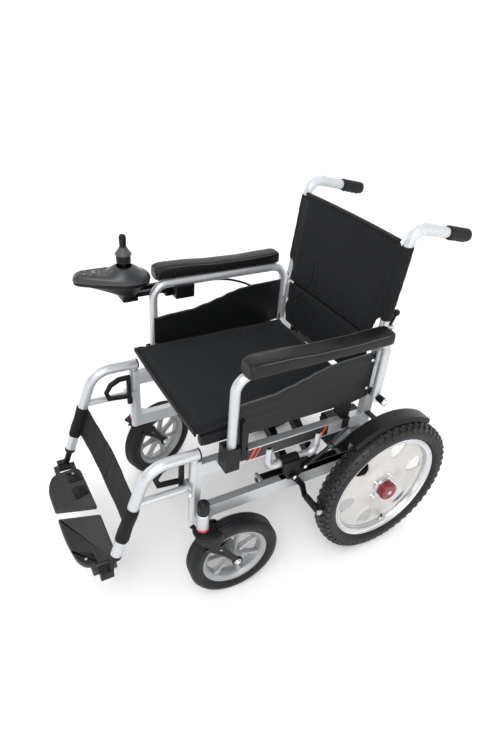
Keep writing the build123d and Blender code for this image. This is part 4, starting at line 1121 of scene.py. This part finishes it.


# Lighter grey than the pad leather: this colour paints a highlight line on the piping.
PIPING_PAINTED_HIGHLIGHT = material("pad_edge_painted_highlight", (0.05, 0.05, 0.05), 0.36, 0.0, (700, 0.12), (24, 0.2), 0.08)
LIP_GREY = material("guard_edge", (0.05, 0.052, 0.056), 0.36, 0.0, (1600, 0.08), (18, 0.2), 0.06)
seat()
back()
for side, s in SIDES.items():
    arm_pad(side, s)
    side_guard(side, s)


# ---------------------------------------------------------------- leg rests
RUN = Vector((0, -82, -230)).normalized()
BEHIND = Vector((0, -RUN.z, RUN.y))


def calf_strap(side, s):
    top = mm(s * 194, -624, 442) + RUN * 0.105

    def where(u, v, w):
        t = (u + 1) / 2
        x = 0.3 + 190.7 * t
        sag = 7.5 * (1 - t * t)
        tuck = 43 - 2.5 * math.sin(math.pi * t) - 1.5 * t
        away = 14.0 + sag + 1.5 * (1 - v * v) * (1 - t) + 1.35 * w
        p = top + RUN * (0.045 + tuck * v / 1000) + BEHIND * away / 1000
        return Vector((s * x / 1000, p.y, p.z))
    obj = pillow("strap_" + side, where, 90, 40, 30)
    for vert in obj.data.vertices:
        q = vert.co
        vert.co += BEHIND * (noise.noise(Vector((q.x * 22, q.z * 14, 2.2))) * 1.5
                             + noise.noise(Vector((q.x * 50, q.z * 40, 7.2))) * 0.5) / 1000
    parts = [([v.co.copy() for v in obj.data.vertices], [list(p.vertices) for p in obj.data.polygons])]
    bpy.data.objects.remove(obj)
    side_way = Vector((1, 0, 0))
    loops = []
    for i in range(46):
        t = i / 45
        loop = []
        for a in around(36):
            r = 15.3 - 0.9 * (2 * t - 1) ** 16 + 0.5 * math.sin(2 * a + 6 * t) + 0.35 * math.sin(5 * a - 11 * t)
            loop.append(top + RUN * 0.09 * t + (side_way * math.cos(a) + BEHIND * math.sin(a)) * min(r, 15.9) / 1000)
        loops.append(loop)
    for t in (1, 0):
        loops.append([top + RUN * 0.09 * t + (side_way * math.cos(a) + BEHIND * math.sin(a)) * 0.01335
                      for a in around(36)])
    parts.append(rings(loops, close_ends=False, joined=True))
    obj = piece("calf_band_" + side, join_data(parts),
                "hanger_" + side, STRAP_CLOTH, "seat_fabric", "calf_strap_" + side)
    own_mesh(obj)
    parts = []
    for v in (-0.85, 0.85):
        path = []
        for i in range(50):
            u = -0.97 + 1.86 * i / 49
            path.append(where(u, v, 0) - BEHIND * 0.0022)
        parts.append(stitches("temp", path, 0.38, 3.4))
    path = [where(0.72, v, 0) - BEHIND * 0.0022 for v in [-0.84 + 1.68 * i / 20 for i in range(21)]]
    parts.append(stitches("temp", path, 0.38, 3.4))
    data = join_data([([v.co.copy() for v in o.data.vertices], [list(p.vertices) for p in o.data.polygons])
                      for o in parts])
    for o in parts:
        bpy.data.objects.remove(o)
    thread = piece("strap_stitching_" + side, data, "hanger_" + side, DARK_THREAD, "seat_fabric")
    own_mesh(thread)


def rounded_outline(points, radius, steps=7):
    """A closed outline with its corners rounded; a radius may be given for each corner."""
    out = []
    n = len(points)
    for i, p in enumerate(points):
        r = radius[i] if isinstance(radius, (list, tuple)) else radius
        p, a, b = Vector(p), Vector(points[i - 1]), Vector(points[(i + 1) % n])
        u, v = (a - p), (b - p)
        reach = min(r, 0.48 * u.length, 0.48 * v.length)
        start, end = p + u.normalized() * reach, p + v.normalized() * reach
        for k in range(steps + 1):
            t = k / steps
            out.append(start * (1 - t) ** 2 + p * 2 * t * (1 - t) + end * t * t)
    return out


def inset(loop, d):
    """The loop moved inwards by d."""
    area = sum(a.x * b.y - a.y * b.x for a, b in zip(loop, loop[1:] + loop[:1]))
    turn = 1 if area > 0 else -1
    out = []
    n = len(loop)
    for i in range(n):
        e = (loop[(i + 1) % n] - loop[i - 1]).normalized()
        out.append(loop[i] + Vector((-e.y, e.x)) * d * turn)
    return out


def dished_plate(outline, z0, z1, s):
    """A moulded plate with rounded edges, a raised rim and a floor inside it."""
    loops = []
    for d, z in ((5.0, z0), (1.6, z0 + 0.4), (0.4, z0 + 1.8), (0.0, z0 + 4), (0.0, z1 - 3.4), (0.5, z1 - 1.4),
                 (1.7, z1 - 0.2), (3.0, z1), (4.2, z1 - 0.1), (5.0, z1 - 0.9), (5.8, z1 - 1.3)):
        loops.append([mm(s * p.x, p.y, z) for p in inset(outline, d)])
    return rings(loops)


def footplate(side, s):
    front, rear = (-4, 24) if s > 0 else (32, 4)
    points = [(front, -789), (front + 70, -789), (135, -780), (160, -764), (166, -706), (152, -693), (rear, -691)]
    outline = rounded_outline(points, [5, 34, 24, 20, 14, 8, 6], 8)
    parts = [dished_plate(outline, 158, 171, s)]
    for y0, y1 in ((-27, -15.5), (15.5, 27)):
        shape = [Vector((148, 0, 159.2)), Vector((180, 0, 159.0))]
        shape += [Vector((180 + 9 * math.sin(a), 0, 168 - 9 * math.cos(a))) for a in
                  [math.pi * k / 12 for k in range(1, 12)]]
        shape += [Vector((176, 0, 174.5)), Vector((160, 0, 171.6)), Vector((148, 0, 170.4))]
        parts.append(prism([mm(s * p.x, -729, p.z) for p in shape], (0, 1, 0), y0, y1))
    piece("foot_tray_" + side, join_data(parts),
          "footplate_" + side, RIBBED, "black_plastic", "footplate_" + side, angle=35)
    parts = []
    pads = [((104, -786), (134, -777), (158, -761), (163, -738), (128, -742))] if s > 0 else []
    for x0, x1, slant in ((48, 94, 10), (112, 152, -8)) if s < 0 else ():
        pads.append(((x0, -734), (x1, -734), (x1 - max(0, -slant), -697), (x0 + max(0, slant), -697)))
    for pad in pads:
        shape = rounded_outline(pad, 4, 4)
        parts.append(rings([[mm(s * p.x, p.y, z) for p in inset(shape, d)] for d, z in
                            ((0, 169.4), (0.6, 171.2), (1.8, 172.2), (4, 172.5))]))
    piece("foot_panels_" + side, join_data(parts), "footplate_" + side, BLACK_STEEL, "black_plastic", angle=35)
    screw = lathe([(172.0, 0), (172.0, 3.6), (172.9, 3.4), (173.3, 2.4), (172.7, 1.8), (172.7, 0)],
                  mm(s * 142, -760 if s > 0 else -716, 0), (0, 0, 1), 20)
    piece("foot_screw_" + side, screw, "footplate_" + side, ZINC, "rim_silver", angle=35)


def hanger_details(side, s):
    rear = mm(s * 194, -508, 442)
    cap = lathe([(-1.5, 11.6), (-1.5, 13.4), (0.4, 13.6), (2.2, 12.6), (3.0, 10), (3.2, 0)], rear, (0, 1, 0), 36)
    low = mm(s * 194, -706, 212)
    parts = [cap]
    collar = lathe([(-7, 13.1), (-6, 13.7), (1.4, 13.7), (2.4, 12.6), (2.6, 8.3), (-4, 8.3)], low, RUN, 36, closed=True)
    parts.append(collar)
    piece("hanger_caps_" + side, join_data(parts), "hanger_" + side, BLACK_PLASTIC, "black_plastic", angle=35)
    parts = [nut_data(s, 214.6, 218.4, -536.5, 349, 6.2, 2.4)]
    for along, r in ((0.188, 1.6), (0.2, 1.6)):
        spot = mm(s * 194, -624, 442) + RUN * (along + 0.018) + Vector((s * 0.0128, 0, 0))
        parts.append(lathe([(0, 0), (0, r * 1.3), (0.5, r), (0.55, 0)], spot, (s, 0, 0), 14))
    piece("hanger_screws_" + side, join_data(parts), "hanger_" + side, CHROME, "rim_silver", angle=35)


# ---------------------------------------------------------------- handles, brakes and trim
def handle_axis(s):
    drop = math.radians(12)
    along = Vector((0, math.cos(drop), -math.sin(drop)))
    bend_y = lean(890)
    end = mm(s * 192, 148, 890 - math.tan(drop) * (148 - bend_y))
    return end, along, mm(s * 192, bend_y, 890)


def push_grip(side, s):
    end, along, corner = handle_axis(s)
    up = Vector((0, -along.z, along.y))
    length = 69.5
    loops = []
    for i in range(76):
        t = i / 75
        d = -length + (length + 3) * t
        ends = min(1, (t * 75 + 0.6) / 4, ((1 - t) * 75 + 0.2) / 5)
        r = 15.9 * math.sin(ends * math.pi / 2) ** 0.45
        groove = max(0, math.cos(2 * math.pi * (d + 57) / 15))
        loop = []
        for a in around(40):
            under = max(0, -math.sin(a)) ** 1.5
            rr = r - 2.6 * under * (1 - groove) * ends - 0.5 * max(0, math.cos(2 * math.pi * d / 3.4)) * (ends > 0.99)
            loop.append(end + along * d / 1000 + (Vector((1, 0, 0)) * math.cos(a) + up * math.sin(a)) * rr / 1000)
        loops.append(loop)
    piece("grip_" + side, rings(loops), "back_" + side, RUBBER, "grip_rubber", "push_grip_" + side)

    low = mm(s * 192, lean(862), 862)
    start = mm(s * 192, lean(800), 800)
    path = bend_path([start, corner, end - along * 0.070], 34, 22)
    path = [p for p in path if p.z > low.z]
    dense = []
    for a, b in zip(path, path[1:]):
        n = max(1, int((b - a).length / 0.0016))
        dense += [a.lerp(b, k / n) for k in range(n)]
    dense.append(path[-1])
    loops = []
    count = len(dense)
    for i, (p, (t, q, u)) in enumerate(zip(dense, frames(dense))):
        loop = []
        for a in around(40):
            d = q * math.cos(a) + u * math.sin(a)
            spot = (p + d * 0.012) * 130 + Vector((0, 0, 3 * s))
            fold = abs(noise.noise(spot)) * 2.6 + abs(noise.noise(spot * 2.3)) * 1.3
            tight = min(1, i / 6, (count - 1 - i) / 6)
            loop.append(p + d * (11.5 + (0.3 + fold) * (0.35 + 0.65 * tight)) / 1000)
        loops.append(loop)
    film = new_object("handle_film_" + side, *rings(loops, close_ends=False))
    smooth_by_angle(film, 28)
    place(film, "back_" + side, FILM, "rim_silver")


def brake_details(side, s):
    a, b = mm(s * 229, -166, 371), mm(s * 238, -122, 414)
    run = (b - a).normalized()
    profile = [(-13, 4.9), (-9, 5.6), (-2, 7.6), (8, 9.1), (24, 9.8), (44, 9.9), (56, 9.4), (62, 7.8),
               (64, 4.5), (64.4, 0)]
    smooth = [(p.x, p.y) for p in curve_points([Vector((t, r, 0)) for t, r in profile], 4)]
    piece("brake_grip_" + side, lathe(smooth[:-1] + [(64.4, 0)], a, run, 40),
          "brake_lever_" + side, GRIP_GLOSS, "grip_rubber", angle=50)
    shoe_axis = mm(0, -215.5, 214)
    shoe = []
    x = 231
    while x < 284:
        shoe += [(x, 8.1), (x + 0.8, 9.0), (x + 2.4, 9.0), (x + 3.2, 8.1)]
        x += 4.2
    shoe = [(230, 0)] + shoe + [(286, 8.1), (286, 0)]
    piece("brake_shoe_" + side, lathe(shoe, shoe_axis, (s, 0, 0), 32),
          "brake_arm_" + side, RUBBER, "grip_rubber", angle=40)
    tip = [(285.5, 0), (285.5, 8.7), (289.2, 8.7), (290.4, 7.6), (290.8, 5), (290.8, 0)]
    piece("brake_tip_" + side, lathe(tip, shoe_axis, (s, 0, 0), 32),
          "brake_arm_" + side, ZINC, "rim_silver", angle=35)
    for name, y, z, x0, body in (("brake_rivet_", -232, 322, 225.8, "brake_lever_"),
                                 ("shoe_rivet_", -262, 300, 227.8, "brake_arm_")):
        dome = [(x0, 0), (x0, 5.4), (x0 + 1.2, 5.2), (x0 + 2.4, 3.6), (x0 + 2.9, 0)]
        piece(name + side, lathe(dome, mm(0, y, z), (s, 0, 0), 28),
              body + side, CHROME, "rim_silver", angle=40)
    end = [(257.2, 0), (257.2, 9.0), (260.2, 8.8), (262.8, 6.4), (263.6, 3.0), (263.7, 0)]
    piece("arm_bolt_" + side, lathe(end, mm(0, -52, 487), (s, 0, 0), 36),
          "frame_" + side, CHROME, "rim_silver", angle=40)


def decal(side, s):
    """The black band with slanting red stripes on the upper rail."""
    def strip(y0, y1, lean_by, x):
        low, high = 384.5, 413.5
        return [mm(s * x, y0, low), mm(s * x, y1, low), mm(s * x, y1 + lean_by, high), mm(s * x, y0 + lean_by, high)]
    band = rings([strip(-393, -163, 0, 203.55), strip(-393, -163, 0, 203.9)])
    obj = new_object("rail_band_" + side, *band, smooth=False)
    place(obj, "frame_" + side, DECAL_BLACK, "black_plastic")
    parts = [rings([strip(y, y + w, 14, 203.8), strip(y, y + w, 14, 204.05)]) for y, w in
             ((-386, 6), (-372, 4), (-186, 6))]
    obj = new_object("rail_stripes_" + side, *join_data(parts), smooth=False)
    place(obj, "frame_" + side, DECAL_RED, "knob_red")


# ---------------------------------------------------------------- controller and joystick
CONTROL = (-246, -542)
PEAR = [(0, -94), (22, -80), (43, -3), (47, 42), (33, 80), (0, 94), (-33, 80), (-47, 42), (-43, -3), (-22, -80)]


def control_at(x, y, z):
    """A point of the controller, which stands turned a little outwards about the stick's axis."""
    p = Matrix.Rotation(math.radians(-14), 2) @ Vector((x, y - 30))
    return mm(CONTROL[0] + p.x, CONTROL[1] + 30 + p.y, z)


def pear(grow=0.0, count=120):
    """The controller's outline from above, sampled evenly round the compass from its middle."""
    line = curve_points([Vector((x, y, 0)) for x, y in PEAR], 16, closed=True)
    out = []
    for k in range(count):
        a = 2 * math.pi * k / count
        d = Vector((math.sin(a), math.cos(a), 0))
        best = max(line, key=lambda p: p.normalized().dot(d))
        i = line.index(best)
        reach = 0
        for p, q in ((line[i - 1], best), (best, line[(i + 1) % len(line)])):
            e = q - p
            det = d.x * -e.y + d.y * e.x
            if abs(det) > 1e-9:
                t = (p.x * -e.y + p.y * e.x) / det
                u = (d.x * p.y - d.y * p.x) / det
                if -1e-6 <= u <= 1 + 1e-6:
                    reach = t
        out.append(d * ((reach or best.length) + grow))
    return out


def controller():
    rim = pear()
    hole = [Vector((math.sin(2 * math.pi * k / 120), math.cos(2 * math.pi * k / 120), 0)) * 19.6 + Vector((0, 30, 0))
            for k in range(120)]

    def shell_point(k, q):
        p = hole[k].lerp(rim[k], q)
        edge = (rim[k] - hole[k]).length * (1 - q)
        away = (p - Vector((0, 30, 0))).length
        roll = 14.5 * (1 - math.exp(-edge / 5.0))
        t = min(1, max(0, (50 - away) / 30))
        z = 667.5 + roll + 15.5 * t * t * (3 - 2 * t) * min(1, edge / 10)
        return control_at(p.x, p.y, z)
    shares = [1, 0.992, 0.98, 0.96, 0.93, 0.89, 0.84, 0.78, 0.71, 0.63, 0.55, 0.47, 0.39, 0.31, 0.23, 0.15, 0.08, 0.0]
    loops = [[control_at(p.x * 0.985, p.y * 0.99, 664.6) for p in rim]]
    loops += [[shell_point(k, q) for k in range(120)] for q in shares]
    verts, faces = rings(loops, close_ends=False)
    obj = new_object("controller_top", verts, faces)
    modify(obj, "SOLIDIFY", thickness=0.0018, offset=-1)
    apply_modifiers(obj)
    place(obj, "controller", GLOSS_PLASTIC, "controller_plastic", "controller_housing", angle=40)

    small = [Vector((math.sin(2 * math.pi * k / 120) * 25, math.cos(2 * math.pi * k / 120) * 25 + 34, 0))
             for k in range(120)]
    loops = []
    for z, scale in ((655.6, 0.968), (657, 0.985), (663, 0.99), (664.4, 0.985)):
        loops.append([control_at(p.x * scale, p.y * scale, z) for p in rim])
    bowl = []
    for i in range(13):
        t = i / 12
        q = (1 - t) ** 0.85
        z = 655.5 - 31.5 * t ** 1.25
        bowl.append([control_at(p.x, p.y, z) for p in
                     [c.lerp(r * 0.9, q) for c, r in zip(small, rim)]])
    blocks = [((-290, -498, 602), (-234, -482, 609.8)), ((-290, -522, 602), (-234, -498, 640)),
              ((-290, -498, 622.2), (-234, -482, 640))]
    parts = [rings(bowl[::-1] + loops)]
    for low, high in blocks:
        outline = rounded_outline([(low[0], low[1]), (high[0], low[1]), (high[0], high[1]), (low[0], high[1])], 3, 4)
        parts.append(rings([[mm(p.x, p.y, z) for p in inset(outline, d)] for d, z in
                            ((0.8, low[2]), (0, low[2] + 0.8), (0, high[2] - 0.8), (0.8, high[2]))]))
    piece("controller_bowl", join_data(parts), "controller", BLACK_PLASTIC, "controller_plastic", angle=40)
    # The seam bead round the shell takes the lighter piping colour, a painted highlight line.
    line = [control_at(p.x, p.y, 665.4) for p in pear(-0.6)]
    loops = [[p + (p - control_at(0, 0, 665.4)).normalized() * dx / 1000 + Vector((0, 0, dz / 1000))
              for p in line] for dx, dz in ((-1.2, -0.9), (0.5, -0.9), (0.8, 0), (0.5, 0.9), (-1.2, 0.9))]
    piece("controller_seam", rings(loops, close_ends=False, joined=True), "controller", PIPING_PAINTED_HIGHLIGHT, "controller_plastic")

    nose = [(-13, -80), (13, -80), (27, -24), (31, -6), (14, -1), (-14, -1), (-31, -6), (-27, -24)]
    outline = rounded_outline(nose, 8, 6)
    loops = []
    for d, z in ((0, 681.2), (0.2, 682.5), (1.0, 683.0), (3.0, 682.8)):
        loops.append([control_at(p.x, p.y, z - 0.9 * max(0, (-p.y - 62) / 18) ** 2) for p in inset(outline, d)])
    piece("controller_inset", rings(loops), "controller", INSET_BLACK, "controller_plastic", angle=30)
    marks = [(-10 + 5 * i, -30, 2.4, 1.6) for i in range(5)]
    marks += [(-15, -50, 1.0, 5), (15, -50, 1.0, 5), (0, -18, 16, 0.6), (0, -74, 5, 0.6)]
    parts = []
    for x, y, w, h in marks:
        corners = ((x - w / 2, y - h / 2), (x + w / 2, y - h / 2), (x + w / 2, y + h / 2), (x - w / 2, y + h / 2))
        parts.append(rings([[control_at(a, b, z) for a, b in corners] for z in (682.4, 683.2)]))
    obj = new_object("controller_marks", *join_data(parts), smooth=False)
    place(obj, "controller", MARK_GREY, "controller_plastic")

    for name, body, node, x in (("key_power", "power_key", "power_button", 9),
                                ("key_horn", "horn_key", "horn_button", -9)):
        cap = [(676, 4.4), (684.0, 4.4), (685.0, 3.7), (685.2, 2.6), (684.6, 1.6), (684.5, 0)]
        piece(name, lathe(cap, control_at(x, -64, 0), (0, 0, 1), 28),
              body, GREY_RUBBER, "controller_plastic", node, angle=40)
    shape = rounded_outline([(-9, -48), (9, -48), (9, -38), (-9, -38)], 2.6, 5)
    loops = []
    for d, z in ((0, 677), (0, 683.6), (0.5, 684.6), (1.6, 685.0)):
        loops.append([control_at(p.x, p.y, z - 0.5 * (1 - abs(p.x) / 9) * (z > 684)) for p in inset(shape, d)])
    piece("key_speed", rings(loops), "speed_key", GREY_RUBBER, "controller_plastic", "speed_rocker", angle=40)


def joystick():
    foot = mm(-246, -512, 0)
    low = [(662.2, 0), (662.2, 4), (704, 4), (705.8, 13.5)]
    bellows = []
    for i in range(3):
        z = 706.2 + 5.6 * i
        bellows += [(z, 15.0), (z + 0.9, 17.3), (z + 2.0, 18.1), (z + 3.2, 17.3), (z + 4.1, 15.0)]
    bellows += [(723.4, 14.6), (723.8, 0)]
    piece("stick_bellows", lathe(low + bellows, foot, (0, 0, 1), 56),
          "stick", RUBBER, "controller_plastic", "joystick", angle=70)
    skirt = [(722.6, 12), (722.6, 15.6), (724.2, 17.6), (727.4, 20.2), (728.6, 20.5), (730.2, 19.6), (736, 15.0),
             (742, 11.2), (745.6, 9.4), (746.4, 7)]
    piece("stick_skirt", lathe(skirt, foot, (0, 0, 1), 56), "stick", SKIRT_GREY, "controller_plastic", angle=60)
    knob = [(742, 7.2), (746, 8.0), (751, 8.3), (758, 8.5), (766, 8.8), (771, 8.4), (774.6, 6.6),
            (776.4, 3.8), (777, 0)]
    knob = [(p.x, p.y) for p in curve_points([Vector((z, r, 0)) for z, r in knob], 4)]
    piece("stick_knob", lathe(knob[:-1] + [(777, 0)], foot, (0, 0, 1), 56),
          "stick", BLACK_PLASTIC, "controller_plastic", angle=60)


def lead():
    route = [(-242, -337.8, 624), (-242, -306, 624), (-240, -266, 626), (-236, -226, 622),
             (-232, -184, 609), (-230, -146, 590), (-229, -114, 564), (-227, -90, 536), (-226, -80, 508)]
    points = [mm(*p) for p in route]
    data = bpy.data.curves.new("controller_lead", "CURVE")
    data.dimensions = "3D"
    data.bevel_depth = 0.003
    data.bevel_resolution = 6
    data.resolution_u = 16
    data.use_fill_caps = True
    spline = data.splines.new("NURBS")
    spline.points.add(len(points) - 1)
    for knot, p in zip(spline.points, points):
        knot.co = (*p, 1)
    spline.order_u = 3
    spline.use_endpoint_u = True
    obj = bpy.data.objects.new("controller_lead", data)
    bpy.context.scene.collection.objects.link(obj)
    obj.data.materials.append(RUBBER)
    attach(obj, "armrest_right")
    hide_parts("joystick_lead")
    run = (points[-1] - points[-2]).normalized()
    plug = [(-9, 3.0), (-8.6, 3.9), (-4, 4.2), (-2, 4.4), (-1.8, 5.0), (3, 5.0), (3.6, 4.6), (4.4, 4.6), (5, 5.0),
            (13, 5.0), (13.6, 4.7), (16, 4.6), (16, 0)]
    obj2 = new_object("lead_connector", *lathe([(-9, 0)] + plug, points[-1], run, 32))
    place(obj2, "armrest_right", BLACK_PLASTIC, "black_plastic", angle=40)
    length = sum((b - a).length for a, b in zip(points, points[1:]))
    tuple(points[0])


def machinery():
    """Screws, ribs and covers on the motors, and trim on the battery box."""
    for side, s in SIDES.items():
        parts = []
        for i in range(7):
            x = 120 + 8 * i
            rib = [(x, 37.6), (x, 38.9), (x + 3, 38.9), (x + 3, 37.6)]
            parts.append(lathe(rib, mm(0, 0, REAR_R), (s, 0, 0), 72, True))
        parts.append(lathe([(110.6, 0), (110.6, 33), (112.2, 36), (114, 37.4), (114, 30), (114, 0)],
                           mm(0, 0, REAR_R), (s, 0, 0), 60))
        piece("motor_ribs_" + side, join_data(parts), "frame_" + side, MOTOR, "motor_black", angle=35)
        parts = []
        for i in range(6):
            a = 2 * math.pi * (i + 0.5) / 6
            parts.append(nut_data(-s, -111.2, -107.6, 27 * math.sin(a), REAR_R + 27 * math.cos(a), 3.2))
        piece("motor_screws_" + side, join_data(parts), "frame_" + side, ZINC, "rim_silver", angle=35)
    low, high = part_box("battery_pack")
    x0, x1, y0, y1, z0, z1 = low.x, high.x, low.y, high.y, low.z, high.z
    parts = []
    for z in (z1 - 0.016, z1 - 0.020):
        outline = [Vector((x0, y0)), Vector((x1, y0)), Vector((x1, y1)), Vector((x0, y1))]
        parts.append(rings([[Vector((p.x, p.y, h)) for p in inset(outline, -d)] for d, h in
                            ((0, z), (0.0008, z + 0.0004), (0.0008, z + 0.0014), (0, z + 0.0018))]))
    for k in range(5):
        y = y0 + (y1 - y0) * (k + 1) / 6
        parts.append(box_data((x0 - 0.0008, y - 0.002, z0 + 0.01), (x0 + 0.0005, y + 0.002, z1 - 0.026)))
    obj = new_object("battery_trim", *join_data(parts))
    soften(obj, 0.3, 2)
    place(obj, "frame_left", BLACK_PLASTIC, "black_plastic")


DARK_THREAD = material("black_thread", (0.03, 0.03, 0.032), 0.7, 0.0, (2500, 0.3), (90, 0.25), 0.1)
GRIP_GLOSS = material("grip_gloss", (0.028, 0.032, 0.037), 0.24, 0.0, (1500, 0.05), (25, 0.15), 0.05, coat=0.4)
INSET_BLACK = material("inset_black", (0.006, 0.006, 0.007), 0.3, 0.0, (2600, 0.04), (20, 0.2), 0.05)
MARK_GREY = material("mark_grey", (0.32, 0.33, 0.35), 0.5, 0.0, (1800, 0.05), (40, 0.1), 0.05)
SKIRT_GREY = material("skirt_rubber", (0.055, 0.058, 0.062), 0.5, 0.0, (1800, 0.1), (30, 0.15), 0.08)
DECAL_BLACK = material("band_black", (0.006, 0.006, 0.007), 0.35, 0.0, (1500, 0.04), (20, 0.15), 0.05)
DECAL_RED = material("band_red", (0.62, 0.03, 0.02), 0.4, 0.0, (1500, 0.04), (20, 0.1), 0.05)
FILM = material("clear_film", (0.72, 0.76, 0.8), 0.18, 0.0, (500, 0.1), (60, 0.12), 0.08, coat=0.5)
FILM.node_tree.nodes["Principled BSDF"].inputs["Alpha"].default_value = 0.62
RIBBED = material("foot_plastic", (0.011, 0.011, 0.012), 0.42, 0.0, (1400, 0.08), (18, 0.2), 0.07)


def add_ribs(mat, pitch, axis="DIAGONAL"):
    """Fine moulded ribs across a plastic, as bump."""
    tree = mat.node_tree
    wave = tree.nodes.new("ShaderNodeTexWave")
    wave.bands_direction = axis
    wave.inputs["Scale"].default_value = 0.314 / (pitch / 1000)
    wave.inputs["Distortion"].default_value = 0.0
    tree.links.new(scaled_position(tree), wave.inputs["Vector"])
    old = next(n for n in tree.nodes if n.type == "BUMP")
    bump = add_node(tree, "ShaderNodeBump", Strength=0.5, Distance=0.0008)
    tree.links.new(wave.outputs["Fac"], bump.inputs["Height"])
    tree.links.new(old.outputs["Normal"], bump.inputs["Normal"])
    shader = tree.nodes["Principled BSDF"]
    tree.links.new(bump.outputs["Normal"], shader.inputs["Normal"])


add_ribs(RIBBED, 3.2)
for side, s in SIDES.items():
    calf_strap(side, s)
    footplate(side, s)
    hanger_details(side, s)
    push_grip(side, s)
    brake_details(side, s)
    decal(side, s)
controller()
joystick()
lead()
machinery()


# ---------------------------------------------------------------- camera, floor and light
def camera():
    azimuth, elevation, roll = (math.radians(v) for v in (57.873, 33.731, 5.125))
    back = Vector((math.sin(azimuth) * math.cos(elevation), -math.cos(azimuth) * math.cos(elevation),
                   math.sin(elevation)))
    right = (-back).cross(Vector((0, 0, 1))).normalized()
    up = right.cross(-back)
    rolled = right * math.cos(roll) + up * math.sin(roll)
    over = up * math.cos(roll) - right * math.sin(roll)
    data = bpy.data.cameras.new("camera")
    data.lens = 26.65
    data.sensor_width = 36
    data.clip_end = 200
    cam = bpy.data.objects.new("camera", data)
    bpy.context.scene.collection.objects.link(cam)
    cam.matrix_world = Matrix.Translation(mm(1002.0, -903.5, 1254.0)) @ Matrix(
        (rolled, over, back)).transposed().to_4x4()
    bpy.context.scene.camera = cam


def light(name, location, target, size, power, colour=(1, 1, 1)):
    data = bpy.data.lights.new(name, "AREA")
    data.shape = "RECTANGLE"
    data.size, data.size_y = size
    data.energy = power
    data.color = colour
    lamp = bpy.data.objects.new(name, data)
    bpy.context.scene.collection.objects.link(lamp)
    lamp.location = location
    lamp.rotation_euler = (Vector(target) - Vector(location)).to_track_quat("-Z", "Y").to_euler()


def sun(name, towards, strength, angle):
    data = bpy.data.lights.new(name, "SUN")
    data.energy = strength
    data.angle = math.radians(angle)
    lamp = bpy.data.objects.new(name, data)
    bpy.context.scene.collection.objects.link(lamp)
    lamp.rotation_euler = (-Vector(towards)).to_track_quat("-Z", "Y").to_euler()


camera()
floor = new_object("floor", *box_data((-40, -40, -0.02), (40, 40, -0.0002)), smooth=False)
floor_mat, tree, shader = nodes_of("floor_white")
shader.inputs["Base Color"].default_value = (0.97, 0.97, 0.97, 1)
shader.inputs["Roughness"].default_value = 0.7
shader.inputs["Specular IOR Level"].default_value = 0.0
floor.data.materials.append(floor_mat)
world = bpy.data.worlds.new("studio")
world.use_nodes = True
world.node_tree.nodes["Background"].inputs["Color"].default_value = (1, 1, 1, 1)
world.node_tree.nodes["Background"].inputs["Strength"].default_value = 0.62
bpy.context.scene.world = world
bpy.context.scene.view_settings.view_transform = "Standard"
sun("sun_front", (1.2, -1.6, 3.0), 1.05, 50)
sun("sun_back", (-1.4, 1.0, 2.6), 0.75, 75)
loops = [[Vector((39 * math.cos(a), 39 * math.sin(a), z)) for a in [math.pi * k / 48 for k in range(96)]]
         for z in (-0.01, 6)]
wall = new_object("horizon", *rings(loops, close_ends=False))
wall_mat, tree, shader = nodes_of("horizon_white")
shader.inputs["Base Color"].default_value = (0.97, 0.97, 0.97, 1)
shader.inputs["Emission Color"].default_value = (1, 1, 1, 1)
shader.inputs["Emission Strength"].default_value = 1.0
wall.data.materials.append(wall_mat)
light("key", (2.2, -1.6, 3.0), (0, 0, 0.4), (1.6, 1.6), 38)
light("side", (3.0, -0.4, 1.0), (0, 0, 0.35), (1.6, 0.8), 16)
light("fill", (-2.6, -2.0, 2.0), (0, 0, 0.5), (1.6, 1.2), 14)
